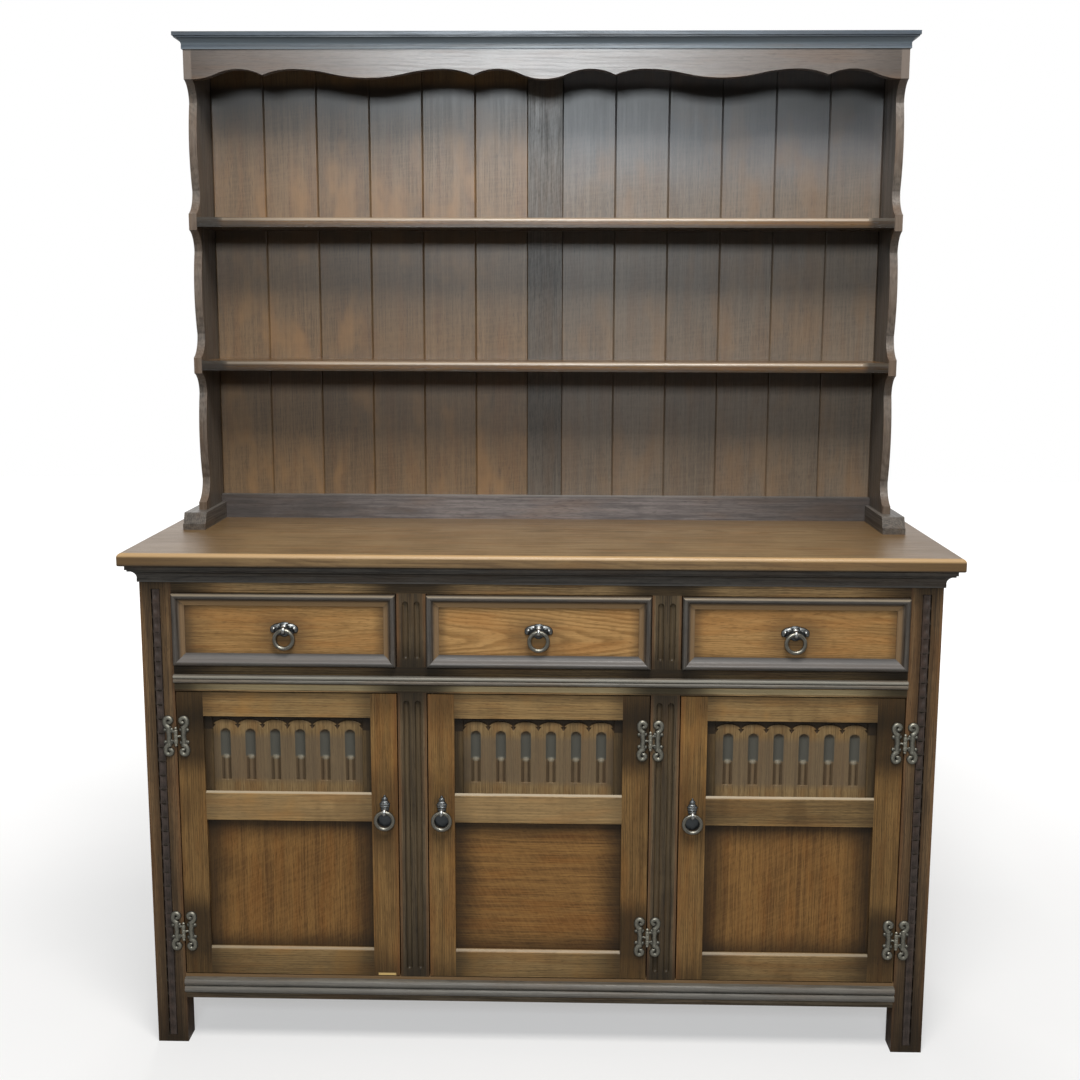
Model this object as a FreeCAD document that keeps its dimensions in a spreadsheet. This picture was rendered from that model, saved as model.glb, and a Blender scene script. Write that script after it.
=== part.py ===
import FreeCAD, Part
import math
import os
from types import SimpleNamespace

import Sketcher

# Welsh dresser in dark oak: a cupboard base with three drawers over three doors,
# and a plate rack that stands on the base.
# Millimetres. X runs to the right seen from the front, Y to the back, Z up.
# The origin is on the floor, at the middle of the top board in X and Y.

Vector = FreeCAD.Vector
doc = FreeCAD.newDocument("welsh_dresser")

# Driving sizes
SIZES = [
    ("top_width", 1372, "top board, left to right"),
    ("top_depth", 440, "top board, front to back"),
    ("top_thickness", 22, "top board"),
    ("top_edge_round", 7, "radius on the upper edge of the top board"),
    ("top_under_round", 3, "radius on the lower edge of the top board"),
    ("base_height", 864, "floor to the upper face of the top board"),
    ("overall_height", 1727, "floor to the top of the cornice"),
    ("side_overhang", 28, "top board beyond the stiles, at each side"),
    ("front_overhang", 25, "top board in front of the stiles"),
    ("back_overhang", 10, "top board behind the back stiles"),
    ("stile_width", 52, "front stile, seen from the front"),
    ("stile_depth", 40, "front and back stiles, front to back"),
    ("back_stile_width", 45, "back stile, left to right"),
    ("rail_thickness", 22, "rails and muntins"),
    ("top_rail_height", 46, "front rail over the drawers"),
    ("drawer_opening_height", 124, "between the top and middle rails"),
    ("mid_rail_height", 44, "front rail under the drawers"),
    ("bottom_rail_height", 44, "front rail under the doors"),
    ("floor_clearance", 82, "floor to the underside of the bottom rail"),
    ("muntin_width", 48, "upright between two bays"),
    ("side_rail_height", 70, "rails of the side frames"),
    ("side_panel_thickness", 9, "panels of the side frames"),
    ("tenon_length", 25, "tenons of the carcase rails"),
    ("muntin_tenon_length", 14, "tenons of the muntins"),
    ("tenon_thickness", 8, "every tenon"),
    ("tenon_shoulder", 6, "step at the edges of a tenon"),
    ("groove_depth", 8, "grooves that hold the panels"),
    ("back_panel_thickness", 6, "back of the base"),
    ("floor_board_thickness", 12, "floor of the cupboard"),
    ("floor_board_tongue", 6, "floor board let into the rails"),
    ("carving_width", 15, "carved channel on a stile"),
    ("carving_depth", 5, "deepest point of a gouge cut"),
    ("carving_ridge", 1.5, "depth of the ridge between two gouge cuts"),
    ("carving_pitch", 24, "from gouge cut to gouge cut"),
    ("carving_end", 12, "plain wood above and below the carved channel"),
    ("muntin_flute_radius", 5, "round flutes of a muntin"),
    ("muntin_flute_spacing", 19, "between the two flutes of a muntin"),
    ("muntin_flute_stop", 18, "plain wood above and below a flute"),
    ("top_moulding_height", 29, "moulding under the top board"),
    ("top_moulding_projection", 18, "moulding under the top board"),
    ("mid_moulding_height", 14, "reeds on the middle rail"),
    ("bottom_moulding_height", 26, "reeds on the bottom rail"),
    ("rail_moulding_base", 5, "flat depth behind the reeds"),
    ("rail_moulding_drop", 5, "from the top of the bottom rail to its reeds"),
    ("runner_width", 16, "bearing for a drawer side"),
    ("runner_thickness", 22, "runners and kickers"),
    ("guide_width", 20, "guide behind a stile"),
    ("guide_height", 28, "guide above the runner"),
    ("kicker_width", 40, "strip over a drawer"),
    ("kicker_gap", 2, "between a kicker and the drawer sides"),
    ("drawer_gap", 1.5, "around a drawer front"),
    ("running_gap", 0.3, "between a drawer side and its runner"),
    ("drawer_front_thickness", 20, "drawer front"),
    ("drawer_back_gap", 7, "between a drawer box and the back rails"),
    ("drawer_side_height", 110, "drawer sides"),
    ("drawer_side_thickness", 10, "drawer sides and back"),
    ("drawer_bottom_thickness", 5, "drawer bottom"),
    ("drawer_bottom_rise", 8, "from the lower edge of a side to the bottom"),
    ("drawer_bottom_groove", 5, "groove that holds the bottom"),
    ("dovetail_length", 14, "tails let into a drawer front"),
    ("dovetail_count", 3, "tails on each side"),
    ("dovetail_flare", 4, "how much a tail widens on each edge"),
    ("drawer_moulding_width", 20, "frame on a drawer front"),
    ("drawer_moulding_height", 12, "frame on a drawer front"),
    ("drawer_moulding_lip", 3, "inner edge of that frame"),
    ("door_gap", 2, "around a door"),
    ("door_thickness", 20, "door frame"),
    ("door_stile_width", 44, "door stiles"),
    ("door_top_rail_height", 41, "door rail"),
    ("door_mid_rail_height", 50, "door rail"),
    ("door_bottom_rail_height", 48, "door rail"),
    ("door_tenon_length", 30, "tenons of the door rails"),
    ("panel_play", 0.5, "between the edge of a carved panel and the bottom of its groove"),
    ("carved_panel_height", 131, "carved panel between its rails"),
    ("carved_panel_thickness", 12, "carved panel"),
    ("carved_panel_setback", 4, "carved panel behind the face of the frame"),
    ("plain_panel_thickness", 8, "lower panel"),
    ("plain_panel_setback", 7, "lower panel behind the face of the frame"),
    ("sill_chamfer", 4, "upper front edge of the lower door rails"),
    ("arch_count", 6, "arches on a carved panel"),
    ("arcade_margin", 16, "sunk ground at each side of the arcade"),
    ("arcade_ground", 2.5, "depth of that ground"),
    ("arch_crown", 7, "from the rail to the chip cuts between the arches"),
    ("arch_chip_height", 12, "chip cut between two arches"),
    ("arch_chip_width", 19, "chip cut between two arches"),
    ("arch_chip_depth", 4, "chip cut between two arches"),
    ("arch_line_width", 3, "cut line between two arches"),
    ("arch_line_depth", 1.5, "cut line between two arches"),
    ("arch_flute_width", 17, "hollow of an arch"),
    ("arch_flute_depth", 5, "hollow of an arch"),
    ("arch_flute_top", 22, "from the rail to the head of a hollow"),
    ("arch_flute_length", 84, "hollow of an arch"),
    ("arch_reed_radius", 5, "reed in the lower part of a hollow"),
    ("arch_reed_length", 37, "reed in the lower part of a hollow"),
    ("arch_reed_sink", 0.5, "front of a reed below the face"),
    ("hinge_height", 67, "hinge leaf"),
    ("hinge_leaf_width", 22, "from the pin to the outer edge of a leaf"),
    ("hinge_leaf_thickness", 1.8, "hinge leaf"),
    ("hinge_knuckle_radius", 3.2, "hinge knuckle"),
    ("hinge_knuckle_length", 24, "the three knuckles together"),
    ("hinge_knuckle_gap", 0.4, "between two knuckles"),
    ("hinge_leaf_gap", 1.2, "between a knuckle and the flat of its leaf"),
    ("hinge_pin_radius", 1.5, "hinge pin"),
    ("hinge_pin_clearance", 0.05, "pin in its knuckle, on the radius"),
    ("hinge_tip_radius", 2.6, "ball at each end of a pin"),
    ("hinge_stand_off", 0.4, "between a knuckle and the wood"),
    ("hinge_inset", 76, "from the end of a door to the middle of a hinge"),
    ("ring_tube_radius", 2.4, "every pull ring"),
    ("drawer_ring_radius", 16.8, "middle of the tube of a drawer ring"),
    ("door_ring_radius", 14.7, "middle of the tube of a door ring"),
    ("eye_radius", 3.3, "hole that a ring hangs in"),
    ("eye_wall", 2.8, "metal around that hole"),
    ("eye_width", 8, "metal around that hole, along the hole"),
    ("pull_plate_thickness", 2.4, "back plates of the pulls"),
    ("pull_stand_off", 8.2, "from the wood to the middle of an eye"),
    ("drawer_pull_height", 61, "lower edge of a drawer front to its eye"),
    ("drawer_plate_width", 50, "back plate of a drawer pull"),
    ("drawer_plate_rise", 12, "back plate above the eye"),
    ("drawer_plate_drop", 10, "back plate below the eye"),
    ("drawer_plate_ear", 5.5, "round ends of that plate"),
    ("door_pull_drop", 203, "upper edge of a door to its eye"),
    ("door_plate_radius", 13, "round part behind a door ring"),
    ("door_plate_rise", 26, "finial above the eye"),
    ("door_plate_tier", 9, "widest tier of the finial"),
    ("catch_width", 30, "door catch, on the back of a muntin"),
    ("catch_depth", 14, "door catch"),
    ("catch_height", 40, "door catch"),
    ("catch_reach", 14, "how far a catch stands behind its door"),
    ("catch_drop", 40, "from the top of a door to its catch"),
    ("catch_nib_radius", 4, "stud that the door closes on"),
    ("rack_inset", 59, "from each end of the top board to a rack side"),
    ("rack_depth", 134, "rack sides at their widest"),
    ("rack_setback", 10, "from the back of the top board to the rack"),
    ("rack_side_thickness", 14, "rack sides"),
    ("rack_foot_length", 180, "foot, front to back"),
    ("rack_foot_width", 40, "foot, left to right"),
    ("rack_foot_height", 30, "foot"),
    ("rack_foot_offset", 5, "middle of a foot outside the middle of its side"),
    ("rack_foot_plinth", 11, "upright part at the front of a foot"),
    ("rack_foot_slope", 12, "how far the front of a foot falls back"),
    ("rack_side_housing", 10, "side let into its foot"),
    ("upper_bay_height", 311, "share of the rack over the upper shelf"),
    ("middle_bay_height", 252, "share of the rack between the shelves"),
    ("lower_bay_height", 300, "share of the rack under the lower shelf"),
    ("shelf_thickness", 17, "plate shelves"),
    ("shelf_housing", 5, "shelf ends let into the sides"),
    ("shelf_nosing", 6, "radius on the front edge of a shelf"),
    ("shelf_nosing_stop", 45, "square part at each end of that edge"),
    ("side_lobe_height", 28, "full-depth part of a side at a shelf"),
    ("side_recess", 30, "depth of the shaped front edge"),
    ("side_bow", 11, "how far the long bow stands forward of the recess"),
    ("side_upper_hollow", 36, "height of the hollow below a lobe"),
    ("side_lower_hollow", 42, "height of the hollow above a lobe"),
    ("frieze_height", 65, "frieze at its ends"),
    ("frieze_thickness", 18, "frieze"),
    ("frieze_rise", 17, "height of the shaped lower edge"),
    ("frieze_cusp", 10, "drop of the points"),
    ("frieze_trough", 2, "middle of each half of the shaped edge, above its ends"),
    ("rack_top_thickness", 12, "board on top of the rack"),
    ("cornice_height", 27, "cornice"),
    ("cornice_projection", 15, "cornice"),
    ("rack_rail_height", 45, "rail on the top board"),
    ("rack_rail_thickness", 12, "rail on the top board"),
    ("back_board_thickness", 9, "boards at the back of the rack"),
    ("back_board_bevel", 2, "bevel on the edges of a board"),
    ("back_board_count", 6, "boards at each side of the middle muntin"),
    ("back_muntin_width", 63, "upright in the middle of the rack back"),
    ("back_muntin_proud", 3, "that upright in front of the boards"),
]

sheet = doc.addObject("Spreadsheet::Sheet", "sizes")
for row, (alias, number, note) in enumerate(SIZES, start=1):
    sheet.set(f"A{row}", alias)
    sheet.set(f"B{row}", str(number))
    sheet.set(f"C{row}", note)
    sheet.setAlias(f"B{row}", alias)
doc.recompute()


class Length:
    """A length in millimetres, with its formula over the cells of the sheet."""

    def __init__(self, formula, value):
        self.formula = formula
        self.value = value

    def __add__(self, other):
        other = as_length(other)
        return Length(f"({self.formula} + {other.formula})", self.value + other.value)

    def __sub__(self, other):
        other = as_length(other)
        return Length(f"({self.formula} - {other.formula})", self.value - other.value)

    def __mul__(self, other):
        other = as_length(other)
        return Length(f"({self.formula} * {other.formula})", self.value * other.value)

    def __truediv__(self, other):
        other = as_length(other)
        return Length(f"({self.formula} / {other.formula})", self.value / other.value)

    def __neg__(self):
        return self * -1


def as_length(number):
    return number if isinstance(number, Length) else Length(str(number), number)


def cell(alias):
    return Length(f"sizes.{alias}", float(sheet.get(alias)))


def count(alias):
    return int(sheet.get(alias))


s = SimpleNamespace(**{alias: cell(alias) for alias, number, note in SIZES})
nothing = as_length(0)
NEAR = 1e-4
nodes = []


def node(label, item):
    """Name a finished sub-part and keep it for export."""
    item.Label = label
    nodes.append(item)
    return item


def place(item, x, y, z):
    """Bind the position of an object."""
    for axis, at in zip("xyz", (x, y, z)):
        item.setExpression(f"Placement.Base.{axis}", as_length(at).formula)
    return item


def board(name, x, y, z):
    """A rectangular board between a low and a high limit on each axis."""
    item = doc.addObject("Part::Box", name)
    for side, (low, high) in zip(("Length", "Width", "Height"), (x, y, z)):
        item.setExpression(side, (high - low).formula)
    return place(item, x[0], y[0], z[0])


def rod(name, radius, length, x, y, z, along="z"):
    """A round rod that starts at a point and runs along an axis."""
    item = doc.addObject("Part::Cylinder", name)
    turn = {"x": (Vector(0, 1, 0), 90), "y": (Vector(1, 0, 0), -90), "z": (Vector(0, 0, 1), 0)}
    item.Placement.Rotation = FreeCAD.Rotation(*turn[along])
    item.setExpression("Radius", radius.formula)
    item.setExpression("Height", length.formula)
    return place(item, x, y, z)


def ball(name, radius, x, y, z):
    item = doc.addObject("Part::Sphere", name)
    item.setExpression("Radius", radius.formula)
    return place(item, x, y, z)


def fuse(name, *items):
    item = doc.addObject("Part::MultiFuse", name)
    item.Shapes = list(items)
    item.Refine = True
    return item


def cut(name, base, *tools):
    item = doc.addObject("Part::Cut", name)
    item.Base = base
    item.Tool = tools[0] if len(tools) == 1 else fuse(name + "_tools", *tools)
    item.Refine = True
    return item


def group(name, items):
    item = doc.addObject("Part::Compound", name)
    item.Links = list(items)
    return item


def solid(name, shape):
    """A shape that was worked out point by point from the sheet."""
    item = doc.addObject("Part::Feature", name)
    item.Shape = shape
    return item


def edges_at(item, **limits):
    """Numbers of the edges of a board that lie on the given faces, such as y=front."""
    doc.recompute()
    found = []
    for number, edge in enumerate(item.Shape.Edges, start=1):
        box = edge.BoundBox
        spans = {"x": (box.XMin, box.XMax), "y": (box.YMin, box.YMax), "z": (box.ZMin, box.ZMax)}
        distances = [abs(end - at.value) for axis, at in limits.items() for end in spans[axis]]
        if max(distances) < NEAR:
            found.append(number)
    return found


def rounded(name, base, radii, kind="Part::Fillet"):
    """Fillet or chamfer edges of a board, given as (edge numbers, radius) pairs."""
    item = doc.addObject(kind, name)
    item.Base = base
    item.Edges = [(number, radius.value, radius.value) for numbers, radius in radii for number in numbers]
    return item


def mirrored(side, inner, outer):
    """Limits of a piece on the right (side 1), or of its mirror image on the left (side -1)."""
    return (inner, outer) if side > 0 else (-outer, -inner)


def middle(limits, thickness):
    """Limits of a thinner piece in the middle of another."""
    centre = (limits[0] + limits[1]) / 2
    return (centre - thickness / 2, centre + thickness / 2)


def tenoned(name, x, y, z, along, tenon_length):
    """A rail or muntin with a tenon at both ends; its shoulders stand at the limits."""
    body = board(name + "_body", x, y, z)
    limits = {"x": x, "y": y, "z": z}
    thickness_axis = "x" if along == "y" else "y"
    for axis, (low, high) in limits.items():
        if axis == along:
            limits[axis] = (low - tenon_length, high + tenon_length)
        elif axis == thickness_axis:
            limits[axis] = middle((low, high), s.tenon_thickness)
        else:
            limits[axis] = (low + s.tenon_shoulder, high - s.tenon_shoulder)
    return fuse(name, body, board(name + "_tenons", **limits))


def outline(start, *steps):
    """A closed face; a step is a point for a line, or a (point on the way, end) pair for an arc."""
    edges = []
    at = start
    for step in steps + (start,):
        if isinstance(step, tuple):
            edges.append(Part.Arc(at, step[0], step[1]).toShape())
            at = step[1]
        elif not at.isEqual(step, NEAR):
            edges.append(Part.makeLine(at, step))
            at = step
    return Part.Face(Part.Wire(edges))


def strip(profile, length, start_mitre, end_mitre):
    """A moulding along X from 0 to its length. The profile lies in YZ.
    At a distance y from the back it starts at y times start_mitre and ends y times end_mitre further on."""
    box = profile.BoundBox
    reach = box.YMax
    start = min(0, start_mitre * reach)
    end = length + max(0, end_mitre * reach)
    bar = profile.translated(Vector(start, 0, 0)).extrude(Vector(end - start, 0, 0))
    corners = [Vector(0, 0, box.ZMin),
               Vector(length, 0, box.ZMin),
               Vector(length + end_mitre * reach, reach, box.ZMin),
               Vector(start_mitre * reach, reach, box.ZMin)]
    plan = outline(*corners).extrude(Vector(0, 0, box.ZLength))
    return bar.common(plan)


def turned(shape, origin, along, out):
    """Carry a moulding from its own X and Y to a place, a running direction and an outward direction."""
    up = along.cross(out)
    matrix = FreeCAD.Matrix(along.x, out.x, up.x, origin.x,
                            along.y, out.y, up.y, origin.y,
                            along.z, out.z, up.z, origin.z,
                            0, 0, 0, 1)
    moved = shape.copy()
    moved.Placement = FreeCAD.Placement(matrix)
    return moved


RIGHT = Vector(1, 0, 0)
LEFT = Vector(-1, 0, 0)
BACK = Vector(0, 1, 0)
FRONT = Vector(0, -1, 0)
UP = Vector(0, 0, 1)
DOWN = Vector(0, 0, -1)
SIDES = {"left": -1, "right": 1}
BAYS = {"left": -1, "middle": 0, "right": 1}

# Main positions of the base
front = -s.top_depth / 2 + s.front_overhang
back = s.top_depth / 2 - s.back_overhang
half_width = s.top_width / 2 - s.side_overhang
opening_half = half_width - s.stile_width
bay_width = (opening_half - s.muntin_width) * 2 / len(BAYS)
bay_pitch = bay_width + s.muntin_width
carcase_top = s.base_height - s.top_thickness
drawer_top = carcase_top - s.top_rail_height
drawer_floor = drawer_top - s.drawer_opening_height
door_top = drawer_floor - s.mid_rail_height
door_floor = s.floor_clearance + s.bottom_rail_height
rail_back = front + s.rail_thickness
panel_front = back - s.back_panel_thickness
back_rail_front = panel_front - s.rail_thickness
back_opening_half = half_width - s.back_stile_width
levels = {"top": (drawer_top, carcase_top),
          "mid": (door_top, drawer_floor),
          "bottom": (s.floor_clearance, door_floor)}

# Front and back rails, muntins, and the floor that is let into the rails
front_rails = {}
back_rails = {}
for level, z in levels.items():
    front_rails[level] = tenoned(f"{level}_front_rail", (-opening_half, opening_half), (front, rail_back), z,
                                 "x", s.tenon_length)
    back_rails[level] = tenoned(f"{level}_back_rail", (-back_opening_half, back_opening_half),
                                (back_rail_front, panel_front), z, "x", s.tenon_length)


def muntin(name, centre, z):
    """An upright between two bays, with two stopped flutes on its face."""
    x = (centre - s.muntin_width / 2, centre + s.muntin_width / 2)
    body = tenoned(name + "_blank", x, (front, rail_back), z, "z", s.muntin_tenon_length)
    low = z[0] + s.muntin_flute_stop
    high = z[1] - s.muntin_flute_stop
    flutes = []
    for side in SIDES.values():
        at = centre + s.muntin_flute_spacing / 2 * side
        flutes.append(rod(name + "_flute", s.muntin_flute_radius, high - low, at, front, low))
        flutes.append(ball(name + "_flute_foot", s.muntin_flute_radius, at, front, low))
        flutes.append(ball(name + "_flute_head", s.muntin_flute_radius, at, front, high))
    return cut(name, body, *flutes)


drawer_muntins = []
door_muntins = []
for side_name, side in SIDES.items():
    centre = bay_pitch / 2 * side
    drawer_muntins.append(muntin(f"drawer_muntin_{side_name}", centre, (drawer_floor, drawer_top)))
    door_muntins.append(muntin(f"door_muntin_{side_name}", centre, (door_floor, door_top)))
node("muntins", group("muntins", drawer_muntins + door_muntins))

floor_z = (door_floor - s.floor_board_thickness, door_floor)
floor_half = half_width - s.rail_thickness + s.floor_board_tongue
floor_blank = board("floor_blank", (-floor_half, floor_half),
                    (rail_back - s.floor_board_tongue, back_rail_front + s.floor_board_tongue), floor_z)

# Stiles and side frames
front_stile_y = (front, front + s.stile_depth)
back_stile_y = (back - s.stile_depth, back)
side_rail_y = (front_stile_y[1], back_stile_y[0])
side_rail_levels = {"top": (carcase_top - s.side_rail_height, carcase_top),
                    "bottom": (s.floor_clearance, s.floor_clearance + s.side_rail_height)}
side_rails = []
side_panels = []
front_stiles = {}
back_stiles = []
stile_blanks = []


def gouge_row(centre):
    """The carved channel of a stile: a row of gouge cuts with low ridges between them."""
    low = s.carving_end.value
    high = carcase_top.value - s.top_moulding_height.value - s.carving_end.value
    cuts = int((high - low) / s.carving_pitch.value)
    pitch = (high - low) / cuts
    ridge = front.value + s.carving_ridge.value
    deep = front.value + s.carving_depth.value
    outside = front.value - s.carving_depth.value
    x = centre.value - s.carving_width.value / 2
    arcs = []
    for number in range(cuts):
        start = low + number * pitch
        arcs.append((Vector(x, deep, start + pitch / 2), Vector(x, ridge, start + pitch)))
    face = outline(Vector(x, outside, low), Vector(x, ridge, low), *arcs, Vector(x, outside, high))
    return face.extrude(RIGHT * s.carving_width.value)


for side_name, side in SIDES.items():
    front_blank = board(f"front_stile_blank_{side_name}", mirrored(side, opening_half, half_width),
                        front_stile_y, (nothing, carcase_top))
    back_blank = board(f"back_stile_blank_{side_name}", mirrored(side, back_opening_half, half_width),
                       back_stile_y, (nothing, carcase_top))
    frame_x = mirrored(side, half_width - s.rail_thickness, half_width)
    rails = [tenoned(f"side_{level}_rail_{side_name}", frame_x, side_rail_y, z, "y", s.tenon_length)
             for level, z in side_rail_levels.items()]
    panel = board(f"side_panel_{side_name}", middle(frame_x, s.side_panel_thickness),
                  (side_rail_y[0] - s.groove_depth, side_rail_y[1] + s.groove_depth),
                  (side_rail_levels["bottom"][1] - s.groove_depth,
                   side_rail_levels["top"][0] + s.groove_depth))
    carving = solid(f"stile_carving_{side_name}", gouge_row((opening_half + half_width) / 2 * side))
    front_stiles[side_name] = cut(f"front_stile_{side_name}", front_blank, panel, carving, *rails,
                                  *front_rails.values())
    back_stiles.append(cut(f"back_stile_{side_name}", back_blank, panel, *rails, *back_rails.values()))
    side_rails.append(cut(f"side_top_rail_grooved_{side_name}", rails[0], panel))
    side_rails.append(cut(f"side_bottom_rail_grooved_{side_name}", rails[1], panel, floor_blank))
    side_panels.append(panel)
    stile_blanks += [front_blank, back_blank]

for side_name in SIDES:
    node(f"front_stile_{side_name}", front_stiles[side_name])
node("back_stiles", group("back_stiles", back_stiles))
node("side_rails", group("side_rails", side_rails))
node("side_panels", group("side_panels", side_panels))
node("floor_board", cut("floor_board", floor_blank, *stile_blanks))
node("front_rails", group("front_rails", [
    cut("front_top_rail", front_rails["top"], *drawer_muntins),
    cut("front_mid_rail", front_rails["mid"], *drawer_muntins, *door_muntins),
    cut("front_bottom_rail", front_rails["bottom"], *door_muntins, floor_blank)]))
node("back_rails", group("back_rails", [
    back_rails["top"], back_rails["mid"], cut("back_bottom_rail", back_rails["bottom"], floor_blank)]))
node("base_back_panel", board("base_back_panel", (-back_opening_half, back_opening_half), (panel_front, back),
                              (s.floor_clearance, carcase_top)))

# Drawer runners with their guides, and the kickers over the drawers
guide_top = drawer_floor + s.guide_height
runner_z = (drawer_floor - s.runner_thickness, drawer_floor)
kicker_low = drawer_floor + s.running_gap + s.drawer_side_height + s.kicker_gap
runners = []
for side_name, side in SIDES.items():
    bearer = board(f"outer_bearer_{side_name}", mirrored(side, opening_half - s.runner_width, opening_half),
                   (rail_back, back_rail_front), runner_z)
    guide = board(f"outer_guide_{side_name}", mirrored(side, opening_half, opening_half + s.guide_width),
                  (front_stile_y[1], back_stile_y[0]), (runner_z[0], guide_top))
    runners.append(fuse(f"outer_runner_{side_name}", bearer, guide))
    centre = bay_pitch / 2 * side
    half_guide = s.muntin_width / 2
    bearer = board(f"inner_bearer_{side_name}",
                   (centre - half_guide - s.runner_width, centre + half_guide + s.runner_width),
                   (rail_back, back_rail_front), runner_z)
    guide = board(f"inner_guide_{side_name}", (centre - half_guide, centre + half_guide),
                  (rail_back, back_rail_front), (runner_z[0], guide_top))
    runners.append(fuse(f"inner_runner_{side_name}", bearer, guide))
for bay_name, bay in BAYS.items():
    centre = bay_pitch * bay
    runners.append(board(f"kicker_{bay_name}", (centre - s.kicker_width / 2, centre + s.kicker_width / 2),
                         (rail_back, back_rail_front), (kicker_low, kicker_low + s.runner_thickness)))
node("drawer_runners", group("drawer_runners", runners))

# Top board and the mouldings of the base
top_blank = board("top_blank", (-s.top_width / 2, s.top_width / 2), (-s.top_depth / 2, s.top_depth / 2),
                  (carcase_top, s.base_height))
shown_faces = [{"y": -s.top_depth / 2}, {"x": -s.top_width / 2}, {"x": s.top_width / 2}]
upper_edges = [number for face in shown_faces for number in edges_at(top_blank, z=s.base_height, **face)]
lower_edges = [number for face in shown_faces for number in edges_at(top_blank, z=carcase_top, **face)]
node("top_board", rounded("top_board", top_blank,
                          [(upper_edges, s.top_edge_round), (lower_edges, s.top_under_round)]))


def point(y, z):
    """A point of a moulding profile: y out from the wood, z up."""
    return Vector(0, y, z)


def three_sided(name, profile, half, front_at, back_at, low):
    """A moulding across the front with a mitred return along each side."""
    depth = back_at - front_at
    pieces = [turned(strip(profile, 2 * half, -1, 1), Vector(half, front_at, low), LEFT, FRONT),
              turned(strip(profile, depth, -1, 0), Vector(-half, front_at, low), BACK, LEFT),
              turned(strip(profile, depth, 0, 1), Vector(half, back_at, low), FRONT, RIGHT)]
    names = ("front", "left", "right")
    return group(name, [solid(f"{name}_{part}", shape) for part, shape in zip(names, pieces)])


# A coved moulding, as shares of its projection and of its height
COVE_FOOT = 0.16
COVE_SHOULDER = 0.72
COVE_SQUARE = 0.84
COVE_LOW = 0.16
COVE_HIGH = 0.66
COVE_STEP = 0.76
COVE_BEND_OUT = 0.3
COVE_BEND_UP = 0.72


def coved_profile(height, projection):
    """Fillet, cove and square upper edge, from the bottom up."""
    foot = COVE_FOOT * projection
    shoulder = COVE_SHOULDER * projection
    square = COVE_SQUARE * projection
    low = COVE_LOW * height
    high = COVE_HIGH * height
    step = COVE_STEP * height
    bend = point(foot + COVE_BEND_OUT * (shoulder - foot), low + COVE_BEND_UP * (high - low))
    return outline(point(0, 0), point(foot, 0), point(foot, low), (bend, point(shoulder, high)),
                   point(square, high), point(square, step),
                   point(projection, step), point(projection, height), point(0, height))


top_moulding = coved_profile(s.top_moulding_height.value, s.top_moulding_projection.value)
node("top_moulding", three_sided("top_moulding", top_moulding, half_width.value, front.value, back.value,
                                 carcase_top.value - s.top_moulding_height.value))


def reeds(height):
    """Two half-round reeds, one over the other, on a flat base."""
    base = s.rail_moulding_base.value
    reed = height / 4
    return outline(point(0, 0), point(base, 0), (point(base + reed, reed), point(base, 2 * reed)),
                   (point(base + reed, 3 * reed), point(base, height)), point(0, height))


rail_mouldings = []
mid_low = (levels["mid"][0] + levels["mid"][1]) / 2 - s.mid_moulding_height / 2
bottom_low = levels["bottom"][1] - s.rail_moulding_drop - s.bottom_moulding_height
for level, height, low in (("mid", s.mid_moulding_height, mid_low),
                           ("bottom", s.bottom_moulding_height, bottom_low)):
    shape = strip(reeds(height.value), 2 * opening_half.value, 0, 0)
    origin = Vector(opening_half.value, front.value, low.value)
    rail_mouldings.append(solid(f"{level}_rail_moulding", turned(shape, origin, LEFT, FRONT)))
node("rail_mouldings", group("rail_mouldings", rail_mouldings))

# Plate rack
rack_half = s.top_width / 2 - s.rack_inset
rack_inner = rack_half - s.rack_side_thickness
rack_back = s.top_depth / 2 - s.rack_setback
rack_front = rack_back - s.rack_depth
boards_front = rack_back - s.back_board_thickness
rack_rail_front = boards_front - s.rack_rail_thickness
side_top = s.overall_height - s.rack_top_thickness
foot_top = s.base_height + s.rack_foot_height
side_bottom = foot_top - s.rack_side_housing
bay_heights = s.upper_bay_height + s.middle_bay_height + s.lower_bay_height
rack_share = (s.overall_height - s.base_height) / bay_heights
lower_shelf_top = s.base_height + rack_share * s.lower_bay_height
shelf_tops = {"upper": lower_shelf_top + rack_share * s.middle_bay_height, "lower": lower_shelf_top}
muntin_front = boards_front - s.back_muntin_proud
muntin_half = s.back_muntin_width / 2

back_muntin = node("rack_back_muntin", board("rack_back_muntin", (-muntin_half, muntin_half),
                                             (muntin_front, rack_back), (s.base_height, side_top)))

shelves = []
for level, top in shelf_tops.items():
    z = (top - s.shelf_thickness, top)
    blank = board(f"{level}_shelf_blank", (-rack_inner, rack_inner), (rack_front, boards_front), z)
    nosing_half = rack_inner - s.shelf_nosing_stop
    waste = board(f"{level}_nosing_waste", (-nosing_half, nosing_half),
                  (rack_front, rack_front + s.shelf_nosing), (top - s.shelf_nosing, top))
    quarter = rod(f"{level}_nosing_round", s.shelf_nosing, nosing_half * 2, -nosing_half,
                  rack_front + s.shelf_nosing, top - s.shelf_nosing, "x")
    tongue = board(f"{level}_shelf_tongues", (-rack_inner - s.shelf_housing, rack_inner + s.shelf_housing),
                   (rack_front + s.side_recess, boards_front), z)
    nosed = cut(f"{level}_shelf_nosed", blank, cut(f"{level}_nosing", waste, quarter))
    shelves.append(cut(f"{level}_shelf", fuse(f"{level}_shelf_tongued", nosed, tongue), back_muntin))
node("plate_shelves", group("plate_shelves", shelves))


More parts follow.
